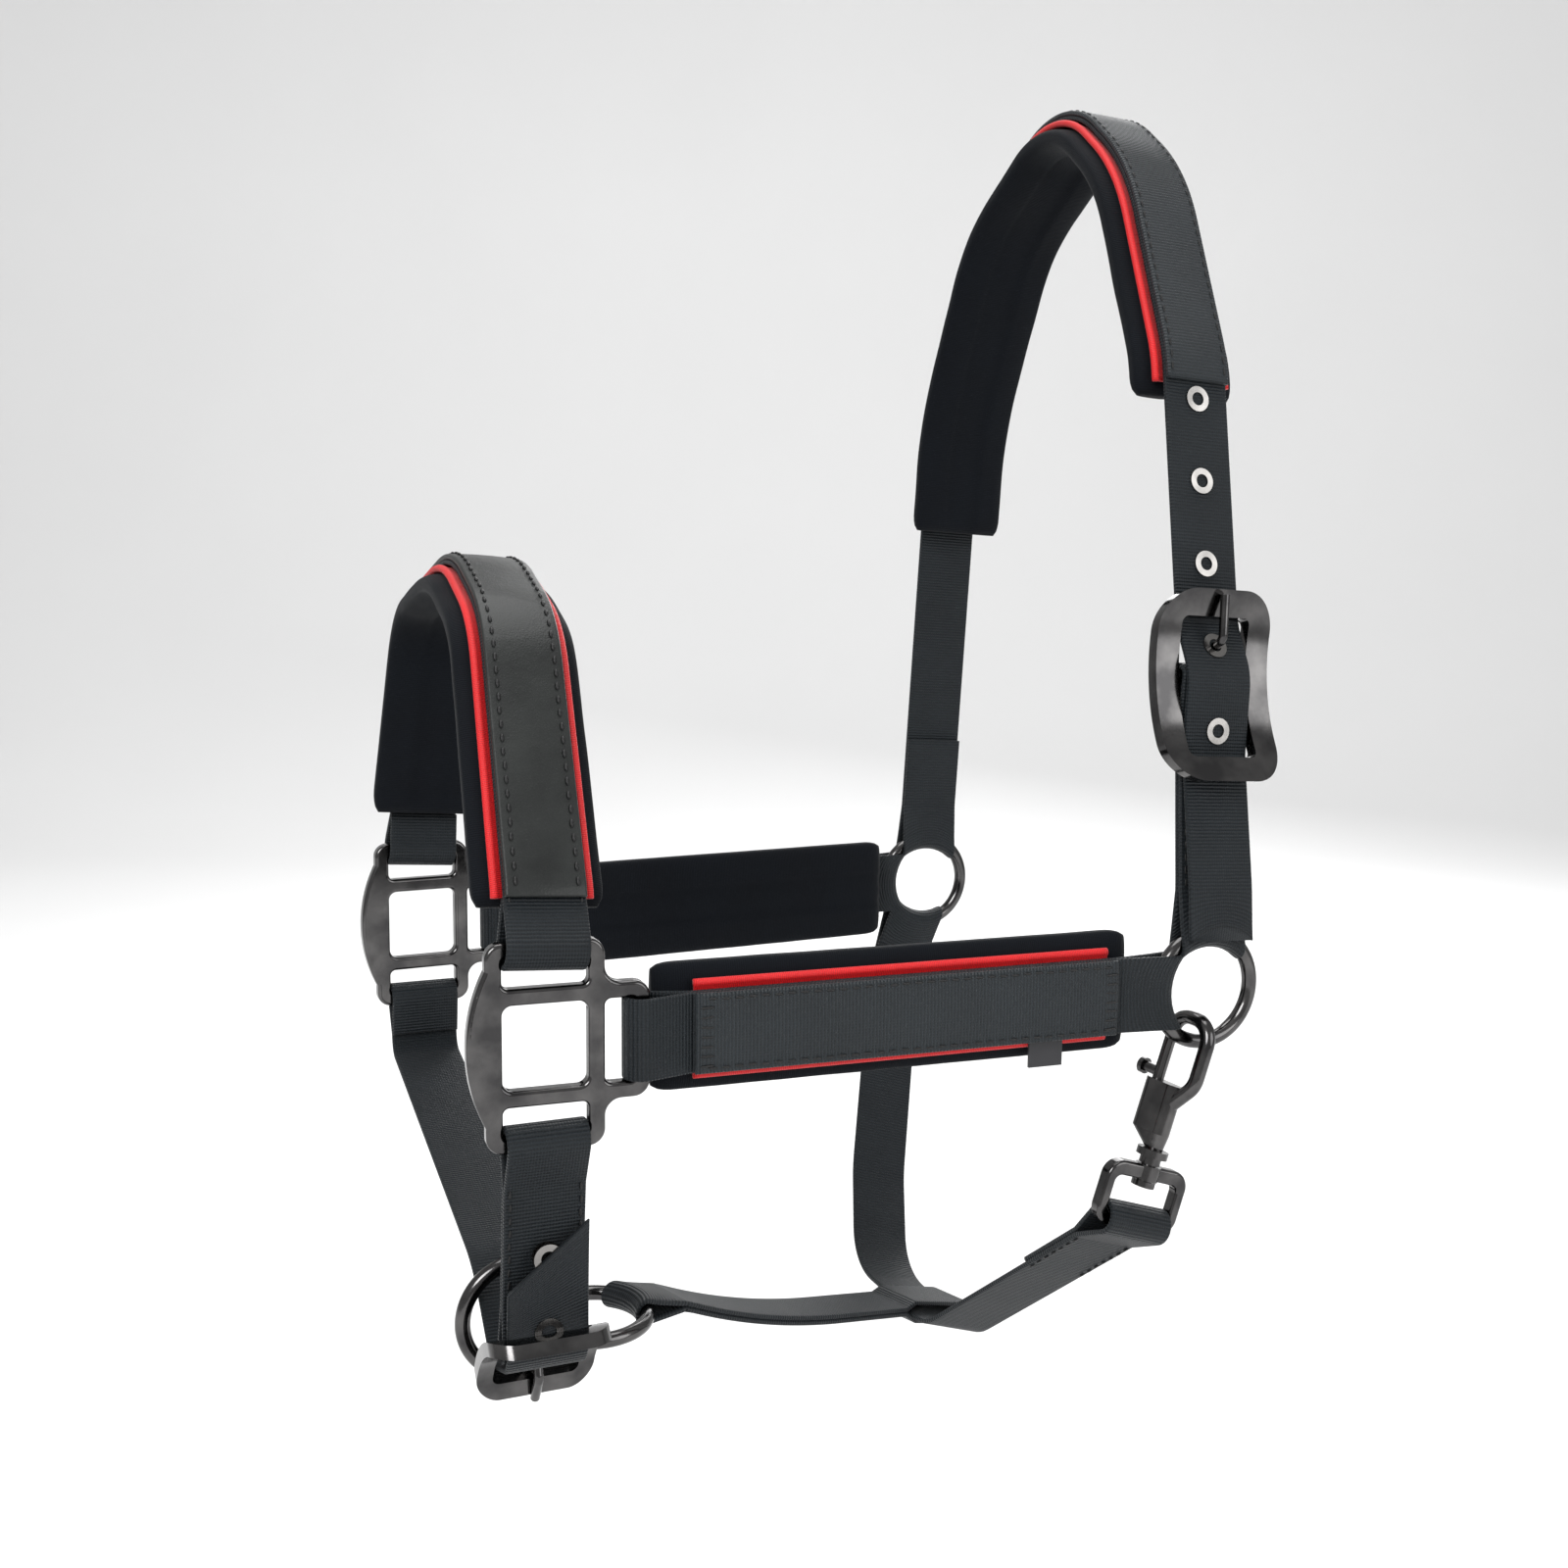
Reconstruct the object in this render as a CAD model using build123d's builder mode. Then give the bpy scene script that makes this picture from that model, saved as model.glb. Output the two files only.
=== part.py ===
"""Padded headcollar for a horse: crown strap, cheek pieces, noseband, chin strap, jowl strap and throat strap.

Frame: +X towards the back of the head, -Y on the near (left) side, +Z up.
The origin is on the inner face of the crown padding, where the headcollar sits on the poll.
"""
from build123d import *
import math
import os

# ---- driving dimensions, mm ----
WEB_WIDTH = 25.0
WEB = 1.8                 # thickness of one layer of webbing
PAD_WIDTH = 40.0
PAD_THICK = 8.4
PIPE_WIDTH = 31.0
PIPE_THICK = 2.6
LEATHER = 2.0
LEATHER_WIDTH = 24.6

RING_X, RING_Y, RING_Z = -16.0, 102.0, -287.0       # centre of a cheek ring
SQUARE_X, SQUARE_Y = -240.0, 90.0                    # centre of a square's window, at the rings' height
RING_R = 18.5             # to the centre of the wire
WIRE_R = 2.5
LOOP_GAP = 0.3            # from webbing to the metal it goes round
LOOP_LEG = 5.0            # a ring loop's straight sides
LOOP_TAPER = 15.0         # from a bar's centre to where the two layers meet

CROWN_LEAN = 3.2          # degrees, top towards the back
NOSE_LEAN = 4.0
THROAT_LEAN = 18.0

WINDOW = 25.5             # the square's middle opening, each way
SQUARE_BAR = 5.0
SLOT = 9.3
OUTER_BAR = 4.4
SQUARE_THICK = 5.0
D_BAR = 10.5
SQUARE_CORNER = 5.0       # of its outline
SQUARE_EDGE = 1.2         # rounding of a square's edges
OUTER_BAR_AT = WINDOW / 2 + SQUARE_BAR + SLOT + OUTER_BAR / 2

EYELET_R = 2.3            # clear hole
EYELET_TUBE_R = 2.9
EYELET_FLANGE_R = 4.4
EYELET_FLANGE = 0.6
BUCKLE_BAR_R = 2.0
BUCKLE_THICK = 4.4
BUCKLE_BLIND = 1.5         # solid left past each end of a buckle bar's hole
FRAME_REACH = 40.0         # depth of the outline that trims a saddle-shaped frame
FRAME_BELOW = 15.0         # of that outline below the strap's line
COLLAR_WALL = 1.7          # of a tongue's collar round its bar
COLLAR_HALF = 2.1          # half the collar's length along the bar
WINDOW_CORNER = 2.5       # of a buckle's window
TONGUE_R = 1.5
PIN_GAP = 0.05            # running clearance of a pin in its hole

os.makedirs("parts", exist_ok=True)


def keep(part, name):
    """Label a finished piece and write it."""
    part.label = name
    export_step(part, f"parts/{name}.step")


# ---- lines, bands and folds ----

def parallel(points, radii, shift):
    """The same rounded line moved sideways, positive to its left."""
    headings = [math.atan2(b[1] - a[1], b[0] - a[0]) for a, b in zip(points, points[1:])]
    moved = []
    new_radii = []
    for place, point in enumerate(points):
        before = headings[max(place - 1, 0)]
        after = headings[min(place, len(headings) - 1)]
        turn = (after - before + math.pi) % (2 * math.pi) - math.pi
        reach = shift / math.cos(turn / 2)
        side = before + turn / 2
        moved.append((point[0] - reach * math.sin(side), point[1] + reach * math.cos(side)))
        if 0 < place < len(points) - 1:
            new_radii.append(radii[place - 1] - math.copysign(1, turn) * shift)
    return moved, new_radii


def rounded_line(points, radii):
    """A line through the points with each corner rounded."""
    if len(points) == 2:
        Line(*points)
    else:
        FilletPolyline(*points, radius=radii)


def band_sketch(plane, points, radii, low, high):
    """The face between two lines parallel to a rounded line, positive on its left."""
    low_points, low_radii = parallel(points, radii, low)
    high_points, high_radii = parallel(points, radii, high)
    with BuildSketch(plane) as face:
        with BuildLine():
            rounded_line(low_points, low_radii)
            rounded_line(high_points, high_radii)
            Line(low_points[0], high_points[0])
            Line(low_points[-1], high_points[-1])
        make_face()
    return face.sketch


def teardrop_line(centre, heading, radius, reach, half_end):
    """A line round a bar's centre that narrows along the heading to a flat end."""
    cosine, sine = math.cos(math.radians(heading)), math.sin(math.radians(heading))
    lean = math.asin((radius - half_end) / reach)
    touch = (radius * math.sin(lean), radius * math.cos(lean))

    def at(x, y):
        return (centre[0] + x * cosine - y * sine, centre[1] + x * sine + y * cosine)

    ThreePointArc(at(touch[0], touch[1]), at(-radius, 0), at(touch[0], -touch[1]))
    end = [at(reach, -half_end), at(reach, half_end)] if half_end else [at(reach, 0)]
    Polyline(at(touch[0], -touch[1]), *end, at(touch[0], touch[1]))


def fold_sketch(plane, centre, heading, bar_r=WIRE_R, reach=LOOP_TAPER):
    """A webbing end folded round a bar: one layer round it, two layers together at the end of the taper."""
    inner = bar_r + LOOP_GAP
    with BuildSketch(plane) as face:
        with BuildLine():
            teardrop_line(centre, heading, inner + WEB, reach, WEB)
        make_face()
        with BuildLine():
            teardrop_line(centre, heading, inner, reach - 1.5, 0)
        make_face(mode=Mode.SUBTRACT)
    return face.sketch


def band_plane(origin, lean):
    """A plane across the head: local x to the off side, local y up, its top leaning back."""
    angle = math.radians(lean)
    return Plane(origin=origin, x_dir=(0, 1, 0), z_dir=(math.cos(angle), 0, -math.sin(angle)))


def surface_plane(across, point, heading):
    """A plane on a band's outer side: x across its width, y along it, z outward."""
    angle = math.radians(heading)
    outward = across.x_dir * -math.sin(angle) + across.y_dir * math.cos(angle)
    return Plane(origin=across.from_local_coords((point[0], point[1], 0)), x_dir=across.z_dir, z_dir=outward)


def band(plane, points, radii, low, high, width):
    """One layer of a strap or pad along a rounded line."""
    with BuildPart() as layer:
        extrude(band_sketch(plane, points, radii, low, high), amount=width / 2, both=True)
    return layer.part


def soft_band(plane, points, radii, low, high, width, edge):
    """A layer whose long edges are rounded."""
    with BuildPart() as layer:
        extrude(band_sketch(plane, points, radii, low, high), amount=width / 2, both=True)
        rims = [e for e in layer.edges() if abs(abs(plane.to_local_coords(e.center()).Z) - width / 2) < 0.01]
        fillet(rims, radius=edge)
    return layer.part


def hug_sketch(centre, axis, radial):
    """Section of a webbing fold round a ring's wire, in the plane of the ring's axis and one radius."""
    bore = WIRE_R + LOOP_GAP
    out = RING_R + LOOP_LEG
    with BuildSketch(Plane(origin=centre, x_dir=radial, z_dir=Vector(*radial).cross(Vector(*axis)))) as face:
        with BuildLine():
            Polyline((RING_R, bore), (out, bore), (out, bore + WEB), (RING_R, bore + WEB))
            ThreePointArc((RING_R, bore + WEB), (RING_R - bore - WEB, 0), (RING_R, -bore - WEB))
            Polyline((RING_R, -bore - WEB), (out, -bore - WEB), (out, -bore), (RING_R, -bore))
            ThreePointArc((RING_R, -bore), (RING_R - bore, 0), (RING_R, bore))
        make_face()
    return face.sketch


CROWN_PLANE = band_plane((RING_X, 0, RING_Z), CROWN_LEAN)
NOSE_PLANE = band_plane((SQUARE_X - OUTER_BAR_AT * math.tan(math.radians(NOSE_LEAN)), 0, RING_Z), NOSE_LEAN)
THROAT_PLANE = band_plane((RING_X, 0, RING_Z), THROAT_LEAN)
CHIN_PLANE = band_plane((SQUARE_X, 0, RING_Z), 0.0)


# ---- cheek rings ----

def ring_part(centre, axis_direction, ring_r, wire_r):
    """A round ring of round wire."""
    across = Plane(origin=centre, z_dir=axis_direction)
    with BuildPart() as ring:
        with BuildSketch(Plane(origin=centre, x_dir=across.x_dir, z_dir=across.y_dir)):
            with Locations((ring_r, 0)):
                Circle(wire_r)
        revolve(axis=Axis(centre, axis_direction))
    return ring.part


def hug_part(centre, axis, toward, stretch):
    """A webbing fold that follows a stretch of a ring, its middle in a given direction from the centre."""
    across = Vector(*toward).cross(Vector(*axis))
    half = math.radians(stretch / 2)
    first = Vector(*toward) * math.cos(half) + across * math.sin(half)
    with BuildPart() as fold:
        revolve(hug_sketch(centre, axis, first), axis=Axis(centre, axis), revolution_arc=stretch)
    return fold.part


def mirrored(part, side):
    """The near side's piece, or its mirror image for the off side."""
    return part if side == "near" else mirror(part, about=Plane.XZ)


def ring_centre(side):
    return (RING_X, RING_Y if side == "off" else -RING_Y, RING_Z)


def rod(plane, radius, amount):
    """A round rod both ways from a plane."""
    with BuildPart() as bar:
        with BuildSketch(plane):
            Circle(radius)
        extrude(amount=amount, both=True)
    return bar.part


def ring_end(plane, bar_point, heading, centre, axis, toward, width=WEB_WIDTH):
    """A strap's folded end on a ring: flat layers that run into a fold hugging the wire."""
    stretch = 2 * math.degrees(math.asin(width / 2 / (RING_R + LOOP_LEG)))
    with BuildPart() as end:
        extrude(fold_sketch(plane, bar_point, heading), amount=width / 2, both=True)
        add(rod(Plane(origin=centre, z_dir=axis), RING_R + LOOP_LEG - 0.6, 8), mode=Mode.SUBTRACT)
        add(hug_part(centre, axis, toward, stretch))
    return end.part


for side in ("near", "off"):
    keep(ring_part(ring_centre(side), (0, 1, 0), RING_R, WIRE_R), f"{side}_cheek_ring")


# ---- crown: strap, billet, padding ----

LEG_HEADING = math.degrees(math.atan2(190, 44))
BUCKLE_FOOT = (-91.0, 104.0)   # on the strap's line, level with the buckle's bar
BUMP = 5.5                     # how far the strap stands out where it passes over the bar
EYELET_PITCH = 28.5
EYELET_STEPS = range(-1, 4)
TONGUE_EYELET = 9.5            # above the bar
BUMP_LOW, BUMP_HIGH = -27.0, 17.5   # where the strap leaves its line for the bar


def leg(along, outward):
    """A point of the near leg, from the buckle's bar up the strap and out from the head."""
    cosine, sine = math.cos(math.radians(LEG_HEADING)), math.sin(math.radians(LEG_HEADING))
    return (BUCKLE_FOOT[0] + along * cosine - outward * sine, BUCKLE_FOOT[1] + along * sine + outward * cosine)


CROWN_SIDE = 103.8
ARCH = [leg(110.9, 0), (-33, 280), (14, 314), (74, 274), (CROWN_SIDE, 198)]
ARCH_RADII = [60, 80, 47, 70, 120]
STRAP_LINE = [leg(-84, 0), leg(BUMP_LOW, 0), leg(0, BUMP), leg(BUMP_HIGH, 0)] + ARCH + [(CROWN_SIDE, 32)]
STRAP_RADII = [25, 22, 25] + ARCH_RADII
PAD_NEAR = leg(97.5, 0)
PAD_FAR = (CROWN_SIDE, 152)
FACE = -WEB - PIPE_THICK       # top of the padding, below the strap's outer face
BAR_DROP = -1.6                # of the buckle's bar below the strap's line
BAR_POINT = leg(0, BAR_DROP)


def strap_height(along):
    """How far the crown strap stands out beside the buckle, and its slope in degrees."""
    if BUMP_LOW < along < 0:
        return BUMP * (1 - along / BUMP_LOW), math.degrees(math.atan2(BUMP, -BUMP_LOW))
    if 0 <= along < BUMP_HIGH:
        return BUMP * (1 - along / BUMP_HIGH), -math.degrees(math.atan2(BUMP, BUMP_HIGH))
    return 0.0, 0.0


def eyelet_plane(step):
    """Plane on the crown strap's outer face at one eyelet."""
    along = TONGUE_EYELET + EYELET_PITCH * step
    height, slope = strap_height(along)
    return surface_plane(CROWN_PLANE, leg(along, height), LEG_HEADING + slope)


def eyelet_part(plane, thickness):
    """A metal eyelet: a tube through the webbing with a flange on each side."""
    with BuildPart() as eyelet:
        with BuildSketch(plane.offset(-thickness - EYELET_FLANGE)):
            Circle(EYELET_TUBE_R)
        extrude(amount=thickness + 2 * EYELET_FLANGE)
        with BuildSketch(plane, plane.offset(-thickness - EYELET_FLANGE)):
            Circle(EYELET_FLANGE_R)
        extrude(amount=EYELET_FLANGE)
        with BuildSketch(plane.offset(-thickness - 2 * EYELET_FLANGE)):
            Circle(EYELET_R)
        extrude(amount=thickness + 4 * EYELET_FLANGE, mode=Mode.SUBTRACT)
    return eyelet.part


with BuildPart() as crown_strap:
    add(band(CROWN_PLANE, STRAP_LINE, STRAP_RADII, -WEB, 0, WEB_WIDTH))
    add(band(CROWN_PLANE, [(CROWN_SIDE, 62), (CROWN_SIDE, 32)], [], -2 * WEB, -WEB, WEB_WIDTH))
    add(ring_end(CROWN_PLANE, (RING_Y, RING_R), 90, ring_centre("off"), (0, 1, 0), CROWN_PLANE.y_dir))
    for step in EYELET_STEPS:
        add(rod(eyelet_plane(step), EYELET_TUBE_R, 2 * WEB), mode=Mode.SUBTRACT)
keep(crown_strap.part, "crown_strap")

with BuildPart() as crown_eyelets:
    for step in EYELET_STEPS:
        add(eyelet_part(eyelet_plane(step), WEB))
keep(crown_eyelets.part, "crown_eyelets")

keep(band(CROWN_PLANE, [leg(101, 0)] + ARCH + [(CROWN_SIDE, 160)], ARCH_RADII, 0, WEB, WEB_WIDTH), "crown_overlay")
keep(band(CROWN_PLANE, [leg(101, 0)] + ARCH + [(CROWN_SIDE, 158)], ARCH_RADII, FACE, -WEB, PIPE_WIDTH), "crown_piping")
keep(soft_band(CROWN_PLANE, [PAD_NEAR] + ARCH + [PAD_FAR], ARCH_RADII, FACE - PAD_THICK, FACE, PAD_WIDTH, 2.5),
     "crown_padding")

BILLET_HEADING = math.degrees(math.atan2(BAR_POINT[1] - RING_R, BAR_POINT[0] + RING_Y))
BILLET_LENGTH = math.dist(BAR_POINT, (-RING_Y, RING_R))


def billet_point(along):
    """A point on the billet's middle line, from the ring's wire."""
    share = along / BILLET_LENGTH
    return (-RING_Y + share * (BAR_POINT[0] + RING_Y), RING_R + share * (BAR_POINT[1] - RING_R))


with BuildPart() as crown_billet:
    middle = [billet_point(LOOP_TAPER), billet_point(BILLET_LENGTH - LOOP_TAPER)]
    add(band(CROWN_PLANE, middle, [], -WEB, WEB, WEB_WIDTH))
    add(ring_end(CROWN_PLANE, (-RING_Y, RING_R), BILLET_HEADING, ring_centre("near"), (0, 1, 0),
                 CROWN_PLANE.y_dir))
    bar_fold = fold_sketch(CROWN_PLANE, BAR_POINT, BILLET_HEADING + 180, BUCKLE_BAR_R)
    extrude(bar_fold, amount=WEB_WIDTH / 2, both=True)
    with BuildSketch(surface_plane(CROWN_PLANE, BAR_POINT, BILLET_HEADING)):
        Rectangle(5.2, 12)
    extrude(amount=6, both=True, mode=Mode.SUBTRACT)
keep(crown_billet.part, "crown_billet")


# ---- buckles ----

def buckle_frame(plane, bar, half_width, window_half, low, high, end_bar, middle, rise, corner):
    """A saddle-shaped buckle frame, its bar's hole blind in the sides; low and high are its ends along the strap."""
    centre = (low + high) / 2
    edge_plane = Plane(origin=plane.origin, x_dir=plane.y_dir, z_dir=plane.x_dir)
    half = BUCKLE_THICK / 2
    with BuildPart() as frame:
        with BuildSketch(edge_plane):
            with BuildLine():
                ThreePointArc((low, rise - half), (centre, middle - half), (high, rise - half))
                ThreePointArc((low, rise + half), (centre, middle + half), (high, rise + half))
                Line((low, rise - half), (low, rise + half))
                Line((high, rise - half), (high, rise + half))
            make_face()
        extrude(amount=half_width, both=True)
        with BuildSketch(plane.offset(-FRAME_BELOW)):
            with Locations((0, centre)):
                RectangleRounded(2 * half_width, high - low, corner)
                RectangleRounded(2 * window_half, high - low - 2 * end_bar, WINDOW_CORNER, mode=Mode.SUBTRACT)
        extrude(amount=FRAME_REACH, mode=Mode.INTERSECT)
        with BuildSketch(edge_plane):
            with Locations(bar):
                Circle(BUCKLE_BAR_R)
        extrude(amount=half_width - BUCKLE_BLIND, both=True, mode=Mode.SUBTRACT)
    return frame.part


def buckle_pin(plane, bar, half_width):
    """The straight bar across a buckle, pressed into its sides."""
    edge_plane = Plane(origin=plane.origin, x_dir=plane.y_dir, z_dir=plane.x_dir)
    with BuildPart() as pin:
        with BuildSketch(edge_plane):
            with Locations(bar):
                Circle(BUCKLE_BAR_R)
        extrude(amount=half_width - BUCKLE_BLIND, both=True)
    return pin.part


def buckle_tongue(plane, bar, points, radii):
    """A tongue: a collar turning on the bar and a bent rod through an eyelet to the frame's end bar."""
    edge_plane = Plane(origin=plane.origin, x_dir=plane.y_dir, z_dir=plane.x_dir)
    with BuildPart() as tongue:
        with BuildLine(edge_plane) as route:
            FilletPolyline(*points, radius=radii)
        with BuildSketch(Plane(origin=route.line @ 0, z_dir=route.line % 0)):
            Circle(TONGUE_R)
        sweep(path=route.line)
        with BuildSketch(edge_plane):
            with Locations(bar):
                Circle(BUCKLE_BAR_R + COLLAR_WALL)
        extrude(amount=COLLAR_HALF, both=True)
        with BuildSketch(edge_plane):
            with Locations(bar):
                Circle(BUCKLE_BAR_R + PIN_GAP)
        extrude(amount=2 * COLLAR_HALF, both=True, mode=Mode.SUBTRACT)
    return tongue.part


crown_buckle_plane = surface_plane(CROWN_PLANE, leg(0, 0), LEG_HEADING)
crown_bar = (0, BAR_DROP)
keep(buckle_frame(crown_buckle_plane, crown_bar, 22.5, 13.5, -36.5, 27.5, 8.5, -1.8, 6.6, 13), "crown_buckle_frame")
keep(buckle_pin(crown_buckle_plane, crown_bar, 22.5), "crown_buckle_pin")
keep(buckle_tongue(crown_buckle_plane, crown_bar,
                   [(2.9, BAR_DROP), (7.6, -2.4), (10.8, 7.2), (25.5, 9.6)], [1.8, 3]), "crown_buckle_tongue")


# ---- cheek pieces: the near one, mirrored for the off side ----

FLARE = math.degrees(math.atan2(RING_Y - SQUARE_Y, RING_X - SQUARE_X))
square_bar = (SQUARE_X + OUTER_BAR_AT * math.cos(math.radians(FLARE)),
              -SQUARE_Y - OUTER_BAR_AT * math.sin(math.radians(FLARE)))
ring_bar = (RING_X - RING_R, -RING_Y)
CHEEK_HEADING = math.degrees(math.atan2(ring_bar[1] - square_bar[1], ring_bar[0] - square_bar[0]))
CHEEK_LENGTH = math.dist(square_bar, ring_bar)
CHEEK_PLANE = Plane.XY.offset(RING_Z)
SQUARE_BORE = 3.8              # the webbing's bend round a square's bar, which is softened at its corners


def cheek_point(along):
    """A point of the near cheek's middle line, from the square's bar."""
    share = along / CHEEK_LENGTH
    return (square_bar[0] + share * (ring_bar[0] - square_bar[0]),
            square_bar[1] + share * (ring_bar[1] - square_bar[1]))


def cheek_layer(start, end, inner, outer, width):
    """A layer of the near cheek piece; heights are measured outward from the middle line."""
    return band(CHEEK_PLANE, [cheek_point(start), cheek_point(end)], [], -outer, -inner, width)


with BuildPart() as cheek_webbing:
    add(cheek_layer(LOOP_TAPER, CHEEK_LENGTH - LOOP_TAPER, -WEB, WEB, WEB_WIDTH))
    add(ring_end(CHEEK_PLANE, ring_bar, CHEEK_HEADING + 180, ring_centre("near"), (0, 1, 0), (-1, 0, 0)))
    extrude(fold_sketch(CHEEK_PLANE, square_bar, CHEEK_HEADING, SQUARE_BORE), amount=WEB_WIDTH / 2, both=True)

with BuildPart() as cheek_padding:
    add(cheek_layer(5, CHEEK_LENGTH - 9, -WEB - PIPE_THICK - PAD_THICK, -WEB - PIPE_THICK, PAD_WIDTH))
    fillet(cheek_padding.edges().filter_by(Axis.Z), radius=2.5)

with BuildPart() as size_tab:
    with BuildSketch(Plane(origin=(*cheek_point(136), RING_Z - WEB_WIDTH / 2),
                           x_dir=(math.cos(math.radians(CHEEK_HEADING)), math.sin(math.radians(CHEEK_HEADING)), 0),
                           z_dir=(math.sin(math.radians(CHEEK_HEADING)), -math.cos(math.radians(CHEEK_HEADING)), 0)
                           ).offset(-WEB)):
        with Locations((0, -4.75)):
            Rectangle(12, 9.5)
    extrude(amount=1.0)

for side in ("near", "off"):
    keep(mirrored(cheek_webbing.part, side), f"{side}_cheek_webbing")
    keep(mirrored(cheek_layer(16, CHEEK_LENGTH - 17, WEB, 2 * WEB, WEB_WIDTH), side), f"{side}_cheek_overlay")
    keep(mirrored(cheek_layer(17, CHEEK_LENGTH - 18, -WEB - PIPE_THICK, -WEB, PIPE_WIDTH), side),
         f"{side}_cheek_piping")
    keep(mirrored(cheek_padding.part, side), f"{side}_cheek_padding")
keep(size_tab.part, "size_tab")


# ---- squares ----

SQUARE_PLANE = Plane(origin=(SQUARE_X, -SQUARE_Y, RING_Z),
                     x_dir=(math.cos(math.radians(FLARE)), -math.sin(math.radians(FLARE)), 0),
                     z_dir=(-math.sin(math.radians(FLARE)), -math.cos(math.radians(FLARE)), 0))
middle_half = WINDOW / 2 + SQUARE_BAR
arm = SLOT + OUTER_BAR
with BuildPart() as square:
    with BuildSketch(SQUARE_PLANE):
        Rectangle(2 * middle_half, 2 * (middle_half + arm))
        with Locations(((middle_half + arm) / 2, 0)):
            Rectangle(middle_half + arm, 2 * middle_half)
        fillet(vertices(), radius=SQUARE_CORNER)
        with BuildLine():
            ThreePointArc((SQUARE_CORNER - middle_half, -middle_half - arm), (-WINDOW / 2 - D_BAR, 0),
                          (SQUARE_CORNER - middle_half, middle_half + arm))
            Line((SQUARE_CORNER - middle_half, middle_half + arm), (SQUARE_CORNER - middle_half, -middle_half - arm))
        make_face()
        RectangleRounded(WINDOW, WINDOW, 3, mode=Mode.SUBTRACT)
        for turn in (0, 90, -90):
            with Locations(Location((0, 0, 0), (0, 0, turn))):
                with Locations((middle_half + SLOT / 2, 0)):
                    RectangleRounded(SLOT, WINDOW, 2, mode=Mode.SUBTRACT)
    extrude(amount=SQUARE_THICK / 2, both=True)
    faces = [f for f in square.faces() if abs(abs(f.normal_at().dot(SQUARE_PLANE.z_dir)) - 1) < 0.01]
    fillet([e for f in faces for e in f.edges()], radius=SQUARE_EDGE)
for side in ("near", "off"):
    keep(mirrored(square.part, side), f"{side}_square")


# ---- noseband ----

def between(first, second, share):
    """A point part of the way from one point to another."""
    return (first[0] + share * (second[0] - first[0]), first[1] + share * (second[1] - first[1]))


NOSE_NEAR = (-89.3, 41.3)
NOSE_FAR = (89.3, 41.3)
NOSE = [(-87.8, 46), (-38, 124), (10, 142), (70, 126), (91.2, 52)]
NOSE_RADII = [15, 50, 60, 35, 15]
with BuildPart() as noseband_webbing:
    add(band(NOSE_PLANE, [NOSE_NEAR] + NOSE + [NOSE_FAR], NOSE_RADII, -WEB, 0, WEB_WIDTH))
    for near, heading in ((-1, 78), (1, 102)):
        extrude(fold_sketch(NOSE_PLANE, (near * SQUARE_Y, OUTER_BAR_AT), heading, SQUARE_BORE + 0.9, 13),
                amount=WEB_WIDTH / 2, both=True)
keep(noseband_webbing.part, "noseband_webbing")
nose_ends = [between(NOSE_NEAR, NOSE[0], 0.5)] + NOSE + [between(NOSE_FAR, NOSE[4], 0.3)]
pad_ends = [between(NOSE_NEAR, NOSE[0], 0.1)] + NOSE + [between(NOSE_FAR, NOSE[4], 0.1)]
keep(band(NOSE_PLANE, nose_ends, NOSE_RADII, 0, LEATHER, LEATHER_WIDTH), "noseband_leather")
keep(band(NOSE_PLANE, nose_ends, NOSE_RADII, FACE, -WEB, PIPE_WIDTH), "noseband_piping")
keep(soft_band(NOSE_PLANE, pad_ends, NOSE_RADII, FACE - PAD_THICK, FACE, PAD_WIDTH, 2.0), "noseband_padding")


# ---- chin straps and buckle ----

FRONT_BAR = (-97.9, -89.0)     # across the head and up, from the squares' centres
BACK_BAR = (-74.1, -110.4)
CHIN_HEADING = math.degrees(math.atan2(FRONT_BAR[1] - BACK_BAR[1], FRONT_BAR[0] - BACK_BAR[0]))
CHIN_SADDLE = -5.2             # depth of the chin buckle's middle below its end bars
CHIN_EYELET = 9.8              # from the strap's top over the bar
CHIN_PITCH = 23.0
TAIL_LOW, TAIL_HIGH = -74.0, -54.0


def chin_point(along, outward):
    """A point in the plane of the chin straps, from the middle of the buckle."""
    cosine, sine = math.cos(math.radians(CHIN_HEADING)), math.sin(math.radians(CHIN_HEADING))
    middle = ((FRONT_BAR[0] + BACK_BAR[0]) / 2, (FRONT_BAR[1] + BACK_BAR[1]) / 2)
    return (middle[0] + along * cosine - outward * sine, middle[1] + along * sine + outward * cosine)


CHIN_TOP = chin_point(1.5, 1.6)
CHIN_DIP = chin_point(-16, -6.3)
CHIN_TAIL = -91.2
CHIN_BEND = (CHIN_TAIL, -95.2)
OFF_FOLD = (SQUARE_Y, -OUTER_BAR_AT)
OFF_HEADING = -100.0


def off_point(along, inward):
    """A point by the chin strap's off end, from the square's bar."""
    cosine, sine = math.cos(math.radians(OFF_HEADING)), math.sin(math.radians(OFF_HEADING))
    return (OFF_FOLD[0] + along * cosine + inward * sine, OFF_FOLD[1] + along * sine - inward * cosine)


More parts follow.
